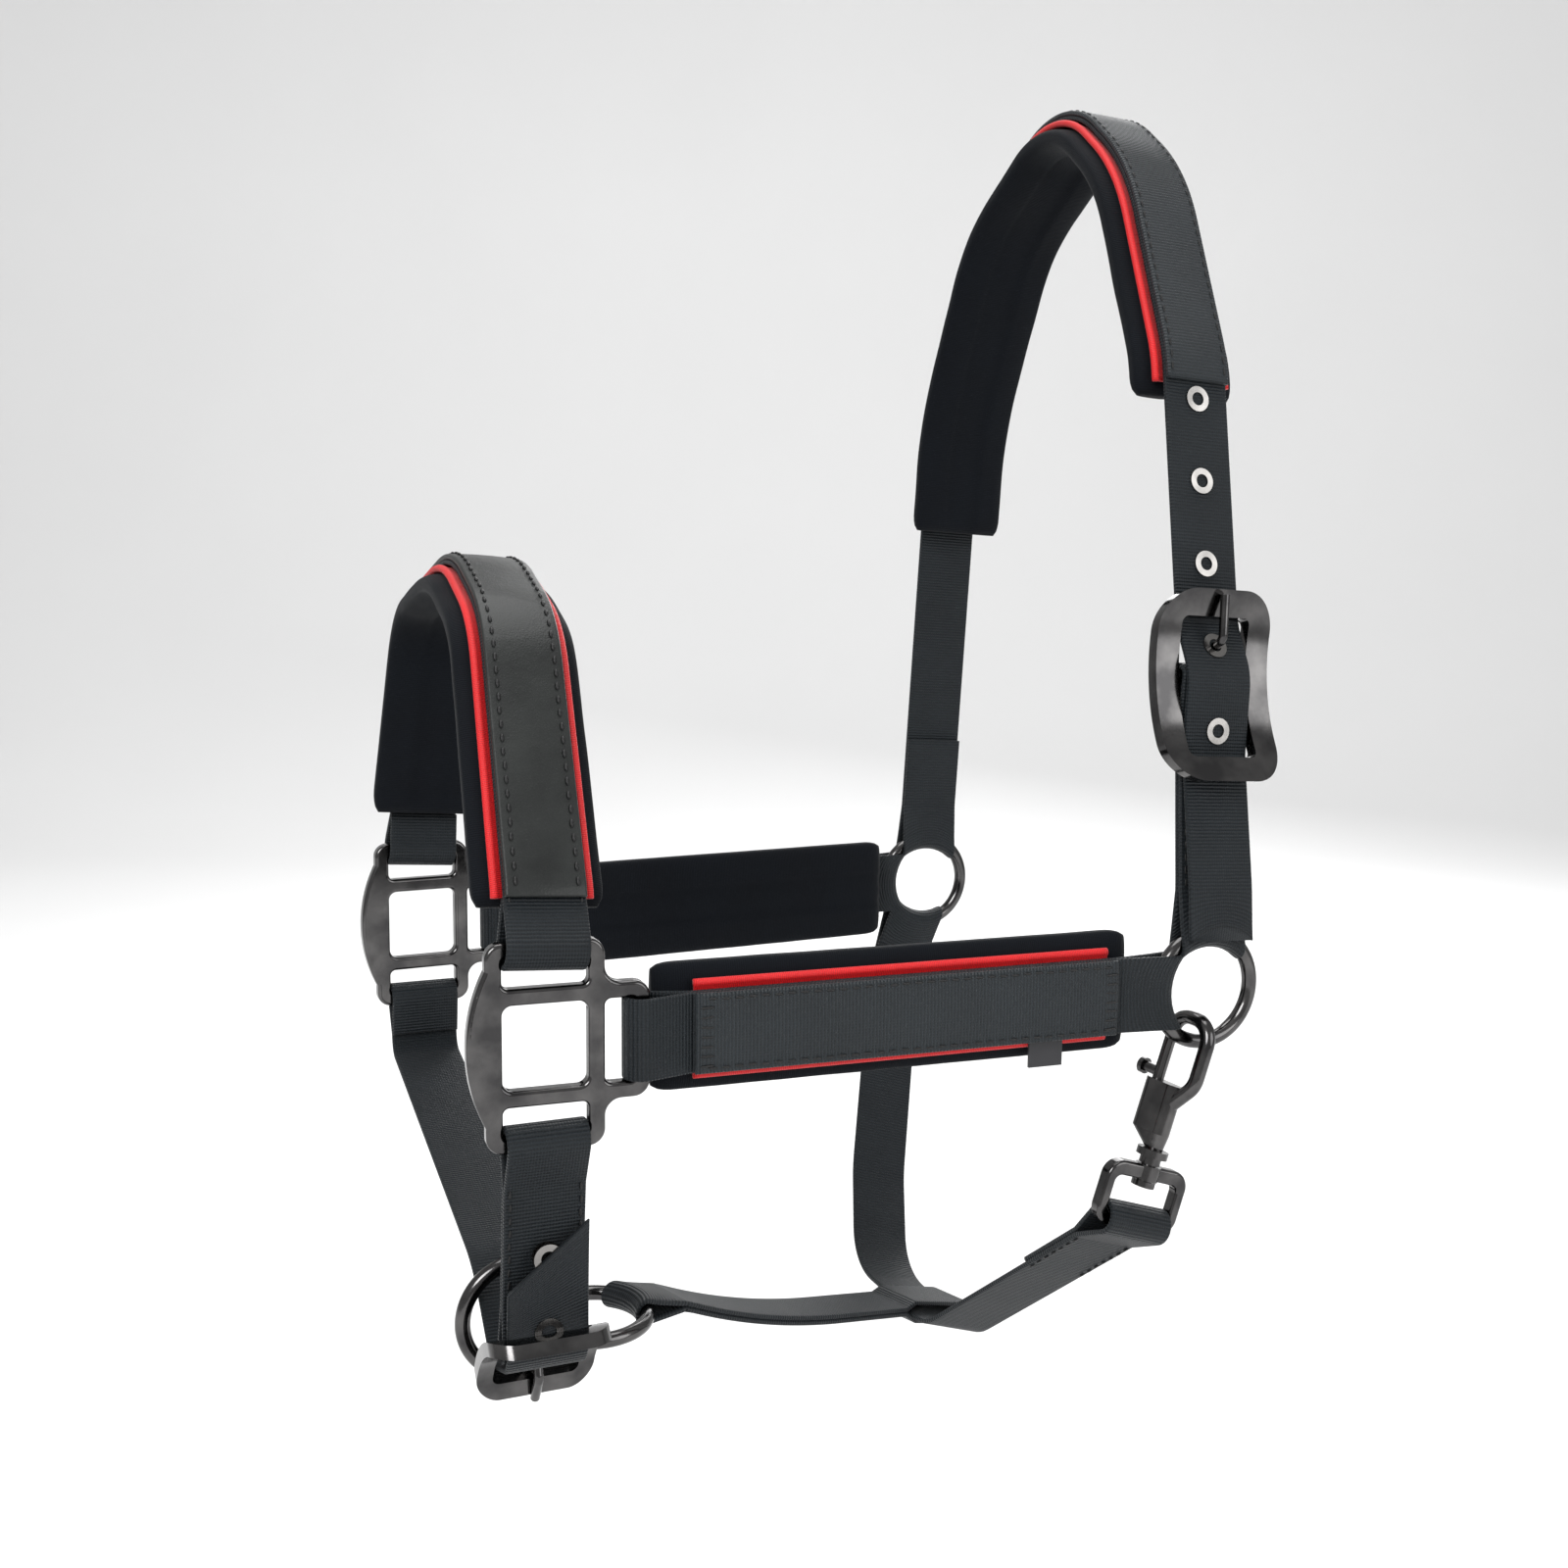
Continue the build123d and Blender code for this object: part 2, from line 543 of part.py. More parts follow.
CHIN_LINE = [(CHIN_TAIL, TAIL_HIGH), CHIN_BEND, CHIN_TOP, CHIN_DIP, (-46, -83), off_point(21, -WEB / 2),
             off_point(12.5, -WEB / 2)]
CHIN_RADII = [6, 6, 7, 40, 10]
chin_slope = math.degrees(math.atan2(CHIN_TOP[1] - CHIN_DIP[1], CHIN_TOP[0] - CHIN_DIP[0]))
chin_step = (math.cos(math.radians(chin_slope)), math.sin(math.radians(chin_slope)))
tongue_hole = (CHIN_TOP[0] - CHIN_EYELET * chin_step[0], CHIN_TOP[1] - CHIN_EYELET * chin_step[1])
bend_to_hole = CHIN_EYELET + math.dist(CHIN_TOP, CHIN_BEND)
outer_half = WEB / 2
CHIN_EYELETS = [surface_plane(CHIN_PLANE, tongue_hole, chin_slope).offset(outer_half)]
for step in (1, 2):
    height = CHIN_BEND[1] + CHIN_PITCH * step - bend_to_hole
    CHIN_EYELETS.append(surface_plane(CHIN_PLANE, (CHIN_TAIL, height), 90).offset(outer_half))

with BuildPart() as chin_strap_off:
    add(band(CHIN_PLANE, CHIN_LINE, CHIN_RADII, -WEB / 2, WEB / 2, WEB_WIDTH))
    extrude(fold_sketch(CHIN_PLANE, OFF_FOLD, OFF_HEADING, SQUARE_BORE, 14), amount=WEB_WIDTH / 2, both=True)
    for hole in CHIN_EYELETS:
        add(rod(hole, EYELET_TUBE_R, 2 * WEB), mode=Mode.SUBTRACT)
    with BuildSketch(Plane.XZ.offset(-CHIN_TAIL)):
        with BuildLine():
            Polyline((SQUARE_X - WEB_WIDTH, RING_Z + TAIL_HIGH + 5), (SQUARE_X - WEB_WIDTH, RING_Z + TAIL_LOW),
                     (SQUARE_X - WEB_WIDTH / 2, RING_Z + TAIL_LOW), (SQUARE_X + WEB_WIDTH / 2, RING_Z + TAIL_HIGH),
                     (SQUARE_X + WEB_WIDTH / 2, RING_Z + TAIL_HIGH + 5), close=True)
        make_face()
    extrude(amount=3, both=True, mode=Mode.SUBTRACT)
keep(chin_strap_off.part, "chin_strap_off")

with BuildPart() as chin_eyelets:
    for hole in CHIN_EYELETS:
        add(eyelet_part(hole, WEB))
keep(chin_eyelets.part, "chin_eyelets")

CHIN_BAR = chin_point(0, CHIN_SADDLE)
near_fold = (-SQUARE_Y, -OUTER_BAR_AT)
NEAR_HEADING = math.degrees(math.atan2(CHIN_BAR[1] - near_fold[1], CHIN_BAR[0] - near_fold[0]))
near_length = math.dist(near_fold, CHIN_BAR)
near_step = ((CHIN_BAR[0] - near_fold[0]) / near_length, (CHIN_BAR[1] - near_fold[1]) / near_length)
near_ends = [(near_fold[0] + near_step[0] * along, near_fold[1] + near_step[1] * along)
             for along in (12.5, near_length - LOOP_TAPER)]
with BuildPart() as chin_strap_near:
    add(band(CHIN_PLANE, near_ends, [], -WEB, WEB, WEB_WIDTH))
    extrude(fold_sketch(CHIN_PLANE, near_fold, NEAR_HEADING, SQUARE_BORE, 14), amount=WEB_WIDTH / 2, both=True)
    extrude(fold_sketch(CHIN_PLANE, CHIN_BAR, NEAR_HEADING + 180, BUCKLE_BAR_R), amount=WEB_WIDTH / 2, both=True)
    with BuildSketch(surface_plane(CHIN_PLANE, CHIN_BAR, CHIN_HEADING)):
        Rectangle(5.2, 16)
    extrude(amount=7, both=True, mode=Mode.SUBTRACT)
keep(chin_strap_near.part, "chin_strap_near")

chin_buckle_plane = surface_plane(CHIN_PLANE, chin_point(0, 0), CHIN_HEADING)
chin_bar = (0, CHIN_SADDLE)
keep(buckle_frame(chin_buckle_plane, chin_bar, 18.5, 13.5, -19.5, 19.5, 5.2, CHIN_SADDLE, 1.75, 8),
     "chin_buckle_frame")
keep(buckle_pin(chin_buckle_plane, chin_bar, 18.5), "chin_buckle_pin")
keep(buckle_tongue(chin_buckle_plane, chin_bar, [(-2.9, -5.2), (-6.6, -4.2), (-9.6, 2.4), (-19, 5.2)], [1.6, 2.4]),
     "chin_buckle_tongue")


# ---- chin ring and jowl ring, linked ----

CHIN_RING = (SQUARE_X + 0.5, -56.0, RING_Z - 98.0)
JOWL_RING = (SQUARE_X + 26.0, -48.0, RING_Z - 106.0)
keep(ring_part(CHIN_RING, (0, 1, 0), RING_R, WIRE_R), "chin_ring")
keep(ring_part(JOWL_RING, (0, 0, 1), RING_R, WIRE_R), "jowl_ring")


# ---- throat strap ----

THROAT_LINE = [(RING_Y, -RING_R - LOOP_TAPER + 0.2), (97, -52), (64, -122), (40, -155), (-20, -155)]
THROAT_RADII = [60, 60, 30, 18]
EYE_BAR = (-RING_Y, -RING_R - 64.0)
THROAT_UP = THROAT_PLANE.y_dir
throat_heading = math.degrees(math.atan2(THROAT_LINE[-1][1] - EYE_BAR[1], THROAT_LINE[-1][0] - EYE_BAR[0]))
throat_end = (EYE_BAR[0] + 14 * math.cos(math.radians(throat_heading)),
              EYE_BAR[1] + 14 * math.sin(math.radians(throat_heading)))
near_patch = (EYE_BAR[0] + 46 * math.cos(math.radians(throat_heading)),
              EYE_BAR[1] + 46 * math.sin(math.radians(throat_heading)))
with BuildPart() as throat_strap:
    add(band(THROAT_PLANE, THROAT_LINE + [throat_end], THROAT_RADII, 0, WEB, WEB_WIDTH))
    add(band(THROAT_PLANE, [near_patch, throat_end], [], -WEB, 0, WEB_WIDTH))
    add(ring_end(THROAT_PLANE, (RING_Y, -RING_R), -90, ring_centre("off"), (0, 1, 0), -THROAT_UP))
    extrude(fold_sketch(THROAT_PLANE, EYE_BAR, throat_heading, SQUARE_BORE + 0.3), amount=WEB_WIDTH / 2, both=True)
keep(throat_strap.part, "throat_strap")


# ---- jowl strap ----

JOWL_WIDTH = 20.0
LOOP_LONG, LOOP_HIGH = 37.0, 5.0
crossing = THROAT_PLANE.from_local_coords((3, -155 - WEB / 2, 0))
jowl_angle = math.atan2(crossing.Y - JOWL_RING[1], crossing.X - JOWL_RING[0])
jowl_toward = (math.cos(jowl_angle), math.sin(jowl_angle), 0)
JOWL_PLANE = Plane(origin=JOWL_RING, x_dir=jowl_toward, z_dir=(math.sin(jowl_angle), -math.cos(jowl_angle), 0))
crossing_at = (math.hypot(crossing.X - JOWL_RING[0], crossing.Y - JOWL_RING[1]), crossing.Z - JOWL_RING[2])
loop_slope = -math.degrees(math.atan(math.tan(math.radians(THROAT_LEAN)) * math.cos(jowl_angle)))
loop_start = (crossing_at[0] - (LOOP_LONG / 2) * math.cos(math.radians(loop_slope)),
              crossing_at[1] - (LOOP_LONG / 2) * math.sin(math.radians(loop_slope)))
JOWL_LINE = [(RING_R + LOOP_TAPER - 0.5, -2.9), (70, -21), loop_start]
with BuildPart() as jowl_strap:
    add(band(JOWL_PLANE, JOWL_LINE, [300], -WEB, WEB, JOWL_WIDTH))
    add(ring_end(JOWL_PLANE, (RING_R, 0), -11, JOWL_RING, (0, 0, 1), jowl_toward, JOWL_WIDTH))
    with BuildSketch(JOWL_PLANE):
        with Locations(Location((*crossing_at, 0), (0, 0, loop_slope))):
            SlotOverall(LOOP_LONG + 2 * WEB, LOOP_HIGH + 2 * WEB)
            SlotOverall(LOOP_LONG, LOOP_HIGH, mode=Mode.SUBTRACT)
    extrude(amount=JOWL_WIDTH / 2, both=True)
keep(jowl_strap.part, "jowl_strap")


# ---- swivel bolt snap: distances run down from the near ring's wire ----

SNAP_TURN = 12.0
BOW_R = 2.5
BOW_SIDE, BOLT_SIDE = -8.5, 7.0
BOLT_R = 2.0
BARREL_TOP, BARREL_END = 16.0, 33.0
BARREL_R = 3.7
BARREL_SPAN = 7.0
COLLAR_TOP, COLLAR_END = 38.5, 41.0
COLLAR_R = 5.35
EYE_TOP, EYE_BAR_END = 44.0, 49.0
EYE_FAR = 64.0
EYE_INNER, EYE_OUTER = 25.5, 33.0
EYE_THICK = 5.2
SWIVEL_R = 2.5
BOLT_TRAVEL = 8.5
EYE_RIM = 4.4
STUD_AT, STUD_REACH = 13.6, 6.5

wire = THROAT_PLANE.from_local_coords((-RING_Y, -RING_R, 0))
turn = math.radians(SNAP_TURN)
snap_across = Vector(0, 1, 0) * math.cos(turn) - THROAT_PLANE.z_dir * math.sin(turn)
SNAP_PLANE = Plane(origin=wire, x_dir=snap_across, z_dir=snap_across.cross(THROAT_UP))


def across_snap(distance, aside=0.0):
    """A plane square to the snap's length, at a distance below the ring's wire."""
    return Plane(origin=SNAP_PLANE.from_local_coords((aside, -distance, 0)), x_dir=SNAP_PLANE.x_dir, z_dir=-THROAT_UP)


with BuildPart() as snap_body:
    with BuildLine(SNAP_PLANE) as bow:
        FilletPolyline((1.5, -26), (BOW_SIDE, -14), (BOW_SIDE, 7.5), (BOLT_SIDE, 7.5), (BOLT_SIDE, 1.0),
                       radius=[8.0, 7.6, 6.0])
    with BuildSketch(Plane(origin=bow.line @ 0, z_dir=bow.line % 0)):
        Circle(BOW_R)
    sweep(path=bow.line)
    with BuildSketch(across_snap(BARREL_TOP, BARREL_SPAN / 2)):
        SlotCenterToCenter(BARREL_SPAN, 2 * BARREL_R)
    extrude(amount=BARREL_END - BARREL_TOP)
    with BuildSketch(across_snap(BARREL_END, BARREL_SPAN / 2)):
        SlotCenterToCenter(BARREL_SPAN, 2 * BARREL_R)
    with BuildSketch(across_snap(COLLAR_TOP)):
        SlotCenterToCenter(0.4, 2 * BARREL_R - 1.6)
    loft()
    with BuildSketch(across_snap(COLLAR_TOP)):
        Circle(COLLAR_R)
    extrude(amount=COLLAR_END - COLLAR_TOP)
    with BuildSketch(across_snap(BARREL_TOP, BOLT_SIDE)):
        Circle(BOLT_R + PIN_GAP)
    extrude(amount=BARREL_END - BARREL_TOP - 1.5, mode=Mode.SUBTRACT)
    with BuildSketch(across_snap(BARREL_TOP, BOLT_SIDE + 5)):
        Rectangle(10, 2 * BOLT_R + 0.6)
    extrude(amount=BOLT_TRAVEL + 1.6, mode=Mode.SUBTRACT)
    with BuildSketch(across_snap(COLLAR_END)):
        Circle(SWIVEL_R)
    extrude(amount=-6, mode=Mode.SUBTRACT)
keep(snap_body.part, "snap_body")

with BuildPart() as snap_bolt:
    with BuildSketch(across_snap(-0.8, BOLT_SIDE)):
        Circle(BOLT_R)
    extrude(amount=22)
    with BuildSketch(Plane(origin=SNAP_PLANE.from_local_coords((BOLT_SIDE, -STUD_AT, 0)), z_dir=snap_across)):
        Circle(BOLT_R - 0.2)
    extrude(amount=STUD_REACH)
    with BuildSketch(Plane(origin=SNAP_PLANE.from_local_coords((BOLT_SIDE + STUD_REACH, -STUD_AT, 0)),
                           z_dir=snap_across)):
        Circle(2.8)
    extrude(amount=1.8)
keep(snap_bolt.part, "snap_bolt")

with BuildPart() as snap_eye:
    with BuildSketch(Plane(origin=wire, x_dir=THROAT_PLANE.z_dir, z_dir=THROAT_PLANE.z_dir.cross(THROAT_UP))):
        with Locations((0, -(EYE_TOP + EYE_FAR + EYE_RIM / 2) / 2)):
            RectangleRounded(EYE_OUTER, EYE_FAR + EYE_RIM / 2 - EYE_TOP, 6)
        with Locations((0, -(EYE_BAR_END + EYE_FAR - EYE_RIM / 2) / 2)):
            RectangleRounded(EYE_INNER, EYE_FAR - EYE_RIM / 2 - EYE_BAR_END, 2.5, mode=Mode.SUBTRACT)
    extrude(amount=EYE_THICK / 2, both=True)
    rims = [e for e in snap_eye.edges()
            if abs(abs((e.center() - Vector(wire)).Y) - EYE_THICK / 2) < 0.01]
    fillet(rims, radius=1.2)
    with BuildSketch(across_snap(EYE_TOP)):
        Circle(4.4)
    extrude(amount=EYE_BAR_END - EYE_TOP)
    with BuildSketch(across_snap(EYE_TOP - 1)):
        Circle(SWIVEL_R + PIN_GAP)
    extrude(amount=EYE_BAR_END - EYE_TOP + 2, mode=Mode.SUBTRACT)
keep(snap_eye.part, "snap_eye")

with BuildPart() as snap_rivet:
    with BuildSketch(across_snap(COLLAR_END - 6)):
        Circle(SWIVEL_R)
    extrude(amount=EYE_BAR_END + 0.4 - COLLAR_END + 6)
    with BuildSketch(across_snap(EYE_BAR_END + 0.4)):
        Circle(4.0)
    extrude(amount=2.0)
    with BuildSketch(across_snap(COLLAR_END)):
        Circle(3.6)
    extrude(amount=EYE_TOP - COLLAR_END - 0.4)
keep(snap_rivet.part, "snap_rivet")
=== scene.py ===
"""Headcollar: webbing, pads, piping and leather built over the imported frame, with procedural materials."""
import bmesh
import bpy
import math
import random
from mathutils import Vector, Matrix, noise


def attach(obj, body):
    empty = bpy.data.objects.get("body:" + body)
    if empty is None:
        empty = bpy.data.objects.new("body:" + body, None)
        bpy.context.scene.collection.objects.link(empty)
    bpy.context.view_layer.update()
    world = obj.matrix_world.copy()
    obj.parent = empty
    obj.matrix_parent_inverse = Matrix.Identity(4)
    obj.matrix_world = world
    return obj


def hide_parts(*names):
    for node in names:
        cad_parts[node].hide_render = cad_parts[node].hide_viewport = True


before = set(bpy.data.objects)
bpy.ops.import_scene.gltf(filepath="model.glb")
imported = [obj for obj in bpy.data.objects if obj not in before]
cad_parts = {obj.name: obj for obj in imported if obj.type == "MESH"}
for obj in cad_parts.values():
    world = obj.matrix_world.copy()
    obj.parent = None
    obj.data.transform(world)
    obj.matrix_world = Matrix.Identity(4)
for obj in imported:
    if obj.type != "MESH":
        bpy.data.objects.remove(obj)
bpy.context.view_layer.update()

random.seed(4)
MM = 0.001
WEB, WEB_WIDTH, LEATHER = 1.8, 25.0, 2.0
RING_X, RING_Y, RING_Z = -16.0, 102.0, -287.0
SQUARE_X, SQUARE_Y, BAR_AT = -240.0, 90.0, 29.25
RING_R = 18.5
HUG_START, HUG_LENGTH = 4.0, 14.0   # past a ring's wire, where a strap's curve round it fades, and how slowly
HUG_WIDTH = 0.9                     # share of the ring's radius over which the strap curves
STITCH = 2.9                        # length of one stitch
FOLD_GAP = 0.3                      # between a bar and the webbing folded round it


# ---- planes and lines, in mm ----

class Across:
    """A plane with local x and y, and z out of it."""
    def __init__(self, origin, x_dir, y_dir):
        self.o, self.x, self.y = Vector(origin), Vector(x_dir).normalized(), Vector(y_dir).normalized()
        self.z = self.x.cross(self.y)

    def at(self, a, b, c=0.0):
        return self.o + self.x * a + self.y * b + self.z * c


def leaning(x, degrees):
    t = math.radians(degrees)
    return Across((x, 0, RING_Z), (0, 1, 0), (math.sin(t), 0, math.cos(t)))


CROWN, THROAT, CHIN = leaning(RING_X, 3.2), leaning(RING_X, 18.0), leaning(SQUARE_X, 0.0)
NOSE = leaning(SQUARE_X - BAR_AT * math.tan(math.radians(4.0)), 4.0)
CHEEK = Across((0, 0, RING_Z), (1, 0, 0), (0, 1, 0))


def polar(origin, heading, along, out=0.0):
    c, s = math.cos(math.radians(heading)), math.sin(math.radians(heading))
    return (origin[0] + along * c - out * s, origin[1] + along * s + out * c)


def heading(a, b):
    return math.degrees(math.atan2(b[1] - a[1], b[0] - a[0]))


def rounded(points, radii, step=2.0):
    """Points along a polyline with rounded corners."""
    out = [Vector(points[0])]
    for i in range(1, len(points) - 1):
        p, a, b = Vector(points[i]), Vector(points[i - 1]), Vector(points[i + 1])
        u, v = (a - p).normalized(), (b - p).normalized()
        half = u.angle(v) / 2
        before = (a - p).length * 0.49 if i > 1 else math.inf
        reach = min(radii[i - 1] / math.tan(half), before, (b - p).length * 0.6)
        r = reach * math.tan(half)
        c = p + (u + v).normalized() * (r / math.sin(half))
        s, e = p + u * reach, p + v * reach
        a0 = math.atan2((s - c).y, (s - c).x)
        turn = (math.atan2((e - c).y, (e - c).x) - a0 + math.pi) % (2 * math.pi) - math.pi
        n = max(3, int(abs(turn) * r / step))
        angles = [a0 + turn * k / n for k in range(n + 1)]
        out += [c + Vector((math.cos(t), math.sin(t))) * r for t in angles]
    out.append(Vector(points[-1]))
    return resample(out, step)


def resample(line, step):
    """Evenly spaced points along a line, never cutting a corner by more than the step."""
    out = [Vector(line[0])]
    for a, b in zip(line, line[1:]):
        a, b = Vector(a), Vector(b)
        n = max(1, int(round((b - a).length / step)))
        if (b - a).length < 0.05:
            continue
        out += [a.lerp(b, k / n) for k in range(1, n + 1)]
    return out


def shifted(line, amount):
    """The line moved to its left."""
    out = []
    for i, p in enumerate(line):
        d = (line[min(i + 1, len(line) - 1)] - line[max(i - 1, 0)]).normalized()
        out.append(p + Vector((-d.y, d.x)) * amount)
    return out


def fold(centre, towards, bore, reach=15.0):
    """One layer's middle line round a bar, from the left layer to the right one."""
    r = bore + FOLD_GAP + WEB / 2
    lean = math.asin((r - WEB / 2) / reach)
    tx, ty = r * math.sin(lean), r * math.cos(lean)
    a0 = math.atan2(ty, tx)
    pts = [polar(centre, towards, reach, WEB / 2)]
    n = 16
    for k in range(n + 1):
        t = a0 + (2 * math.pi - 2 * a0) * k / n
        pts.append(polar(centre, towards, r * math.cos(t), r * math.sin(t)))
    pts.append(polar(centre, towards, reach, -WEB / 2))
    return [Vector(p) for p in pts]


def beginning_at(line, point):
    """The line, turned round if need be so that its first point is the one nearer to the point."""
    return line if (line[0] - point).length <= (line[-1] - point).length else line[::-1]


def ending_at(line, point):
    return beginning_at(line, point)[::-1]


# ---- sweeping a section along a line ----

def section(width, thick, corner, dome=0.0, under=0.0, n=5):
    """A rounded strip's section: (across, outward) points, closed, seen along the line."""
    w, t = width / 2, thick / 2
    c = min(corner, t * 0.98)
    pts = []
    for cx, cy, a in ((w - c, t - c, 0), (-w + c, t - c, 90), (-w + c, -t + c, 180), (w - c, -t + c, 270)):
        angles = [math.radians(a + 90 * k / n) for k in range(n + 1)]
        pts += [(cx + c * math.cos(t), cy + c * math.sin(t)) for t in angles]
        if a in (0, 180):
            side = 1 if a == 0 else -1
            m = 9
            pts += [(side * (w - c) * (1 - 2 * k / m), side * t) for k in range(1, m)]
    out = []
    for x, y in pts:
        f = max(0.0, 1 - (x / w) ** 2)
        out.append((x, y + (dome * f if y > 0 else -under * f)))
    return out


def hugged(q, centre, toward, side):
    """The point drawn in to a ring's curve, fully at the ring and not at all further along the strap."""
    out, w = (q - centre).dot(toward), (q - centre).dot(side)
    far = min(1.0, max(0.0, (out - RING_R - HUG_START) / HUG_LENGTH))
    weight = 1 - far * far * (3 - 2 * far)
    w = max(-RING_R * HUG_WIDTH, min(RING_R * HUG_WIDTH, w))
    return q - toward * (RING_R - math.sqrt(RING_R ** 2 - w ** 2)) * weight


def sweep(name, plane, line, profile, closed=False, bend=None, wobble=0.0, end_round=0.0, mirror=False,
          cut=None):
    """A mesh of the profile swept along a line in a plane; UV is metres along and around."""
    n, m = len(line), len(profile)
    verts, along, s = [], [], 0.0
    total = sum((b - a).length for a, b in zip(line, line[1:]))
    for i, p in enumerate(line):
        a = line[i - 1] if i or closed else line[i]
        b = line[(i + 1) % n] if i < n - 1 or closed else line[i]
        d = (b - a).normalized()
        left = Vector((-d.y, d.x))
        s += (p - line[i - 1]).length if i else 0
        along.append(s)
        shrink = 1.0
        if end_round and not closed:
            e = min(s, total - s)
            if e < end_round:
                shrink = math.sqrt(max(0.02, 1 - (1 - e / end_round) ** 2))
        for x, y in profile:
            lift = wobble * noise.noise(Vector((s / 17.0, x / 9.0, len(name))))
            outward = plane.x * left.x + plane.y * left.y
            q = plane.at(p.x, p.y) + outward * ((y + lift) * (0.35 + 0.65 * shrink)) \
                + plane.z * (x * (0.9 + 0.1 * shrink))
            if cut:
                q = cut(q, x)
            for centre, toward, side in bend or ():
                q = hugged(q, centre, toward, side)
            if mirror:
                q = Vector((q.x, -q.y, q.z))
            verts.append(q * MM)
    faces = []
    rows = n if closed else n - 1
    for i in range(rows):
        for k in range(m):
            here, there, after = i * m, ((i + 1) % n) * m, (k + 1) % m
            faces.append((here + k, here + after, there + after, there + k))
    if not closed:
        faces += [tuple(range(m))[::-1], tuple(range((n - 1) * m, n * m))]
    mesh = bpy.data.meshes.new(name)
    mesh.from_pydata(verts, [], faces)
    around = [0.0]
    for (x0, y0), (x1, y1) in zip(profile, profile[1:] + profile[:1]):
        around.append(around[-1] + math.hypot(x1 - x0, y1 - y0))
    layer = mesh.uv_layers.new(name="UVMap")
    loop = 0
    along.append(along[-1] + (line[0] - line[-1]).length)
    for f, poly in enumerate(mesh.polygons):
        if f < rows * m:
            i, k = divmod(f, m)
            uvs = ((along[i], around[k]), (along[i], around[k + 1]),
                   (along[i + 1], around[k + 1]), (along[i + 1], around[k]))
        else:
            uvs = [(profile[v % m][1], profile[v % m][0]) for v in poly.vertices]
        for uv in uvs:
            layer.data[loop].uv = (uv[0] * MM, uv[1] * MM)
            loop += 1
    bm = bmesh.new()
    bm.from_mesh(mesh)
    bmesh.ops.recalc_face_normals(bm, faces=bm.faces)
    bm.to_mesh(mesh)
    bm.free()
    for poly in mesh.polygons:
        poly.use_smooth = True
    obj = bpy.data.objects.new(name, mesh)
    bpy.context.scene.collection.objects.link(obj)
    return obj


def stitches(name, plane, line, rows, height, pitch=4.2, thick=0.42, mirror=False, start=4, end=4):
    """Rows of raised thread stitches along a line: rows are distances across the strap."""
    verts, faces, s, at = [], [], 0.0, start
    total = sum((b - a).length for a, b in zip(line, line[1:]))
    for a, b in zip(line, line[1:]):
        seg = (b - a).length
        while at < s + seg and at < total - end:
            p = a.lerp(b, (at - s) / seg)
            d = (b - a).normalized()
            out = plane.x * -d.y + plane.y * d.x
            go = plane.x * d.x + plane.y * d.y
            for row in rows:
                slip = random.uniform(-0.12, 0.12)
                base = plane.at(p.x, p.y) + out * height + plane.z * (row + slip)
                first = len(verts)
                for e, r in ((-STITCH / 2, 0.15), (-STITCH / 4, 1.0), (STITCH / 4, 1.0), (STITCH / 2, 0.15)):
                    for k in range(6):
                        t = k * math.pi / 3
                        q = base + go * e + (out * math.sin(t) * 0.75 + plane.z * math.cos(t)) * thick * r
                        if mirror:
                            q = Vector((q.x, -q.y, q.z))
                        verts.append(q * MM)
                for e in range(3):
                    for k in range(6):
                        o = first + e * 6
                        faces.append((o + k, o + (k + 1) % 6, o + 6 + (k + 1) % 6, o + 6 + k))
                faces += [tuple(first + k for k in range(6))[::-1], tuple(first + 18 + k for k in range(6))]
            at += pitch
        s += seg
    mesh = bpy.data.meshes.new(name)
    mesh.from_pydata(verts, [], faces)
    for poly in mesh.polygons:
        poly.use_smooth = True
    obj = bpy.data.objects.new(name, mesh)
    bpy.context.scene.collection.objects.link(obj)
    return obj


# ---- materials ----

WAVE = 0.314        # wave texture scale that repeats once in a unit
WARP_SHARE = 0.8    # of the rib spacing, for the threads along the tape

def material(name):
    m = bpy.data.materials.new(name)
    m.use_nodes = True
    nt = m.node_tree
    return m, nt, nt.nodes["Principled BSDF"]


def node(nt, kind, links=None, **values):
    n = nt.nodes.new(kind)
    for key, value in values.items():
        if key.startswith("_"):
            n.inputs[key[1:].replace("_", " ")].default_value = value
        else:
            setattr(n, key, value)
    for key, out in (links or {}).items():
        nt.links.new(out, n.inputs[key])
    return n


def ramp(nt, fac, low, high, a=0.0, b=1.0):
    r = node(nt, "ShaderNodeValToRGB", {"Fac": fac})
    r.color_ramp.elements[0].position, r.color_ramp.elements[1].position = a, b
    r.color_ramp.elements[0].color, r.color_ramp.elements[1].color = (*low, 1), (*high, 1)
    return r.outputs["Color"]


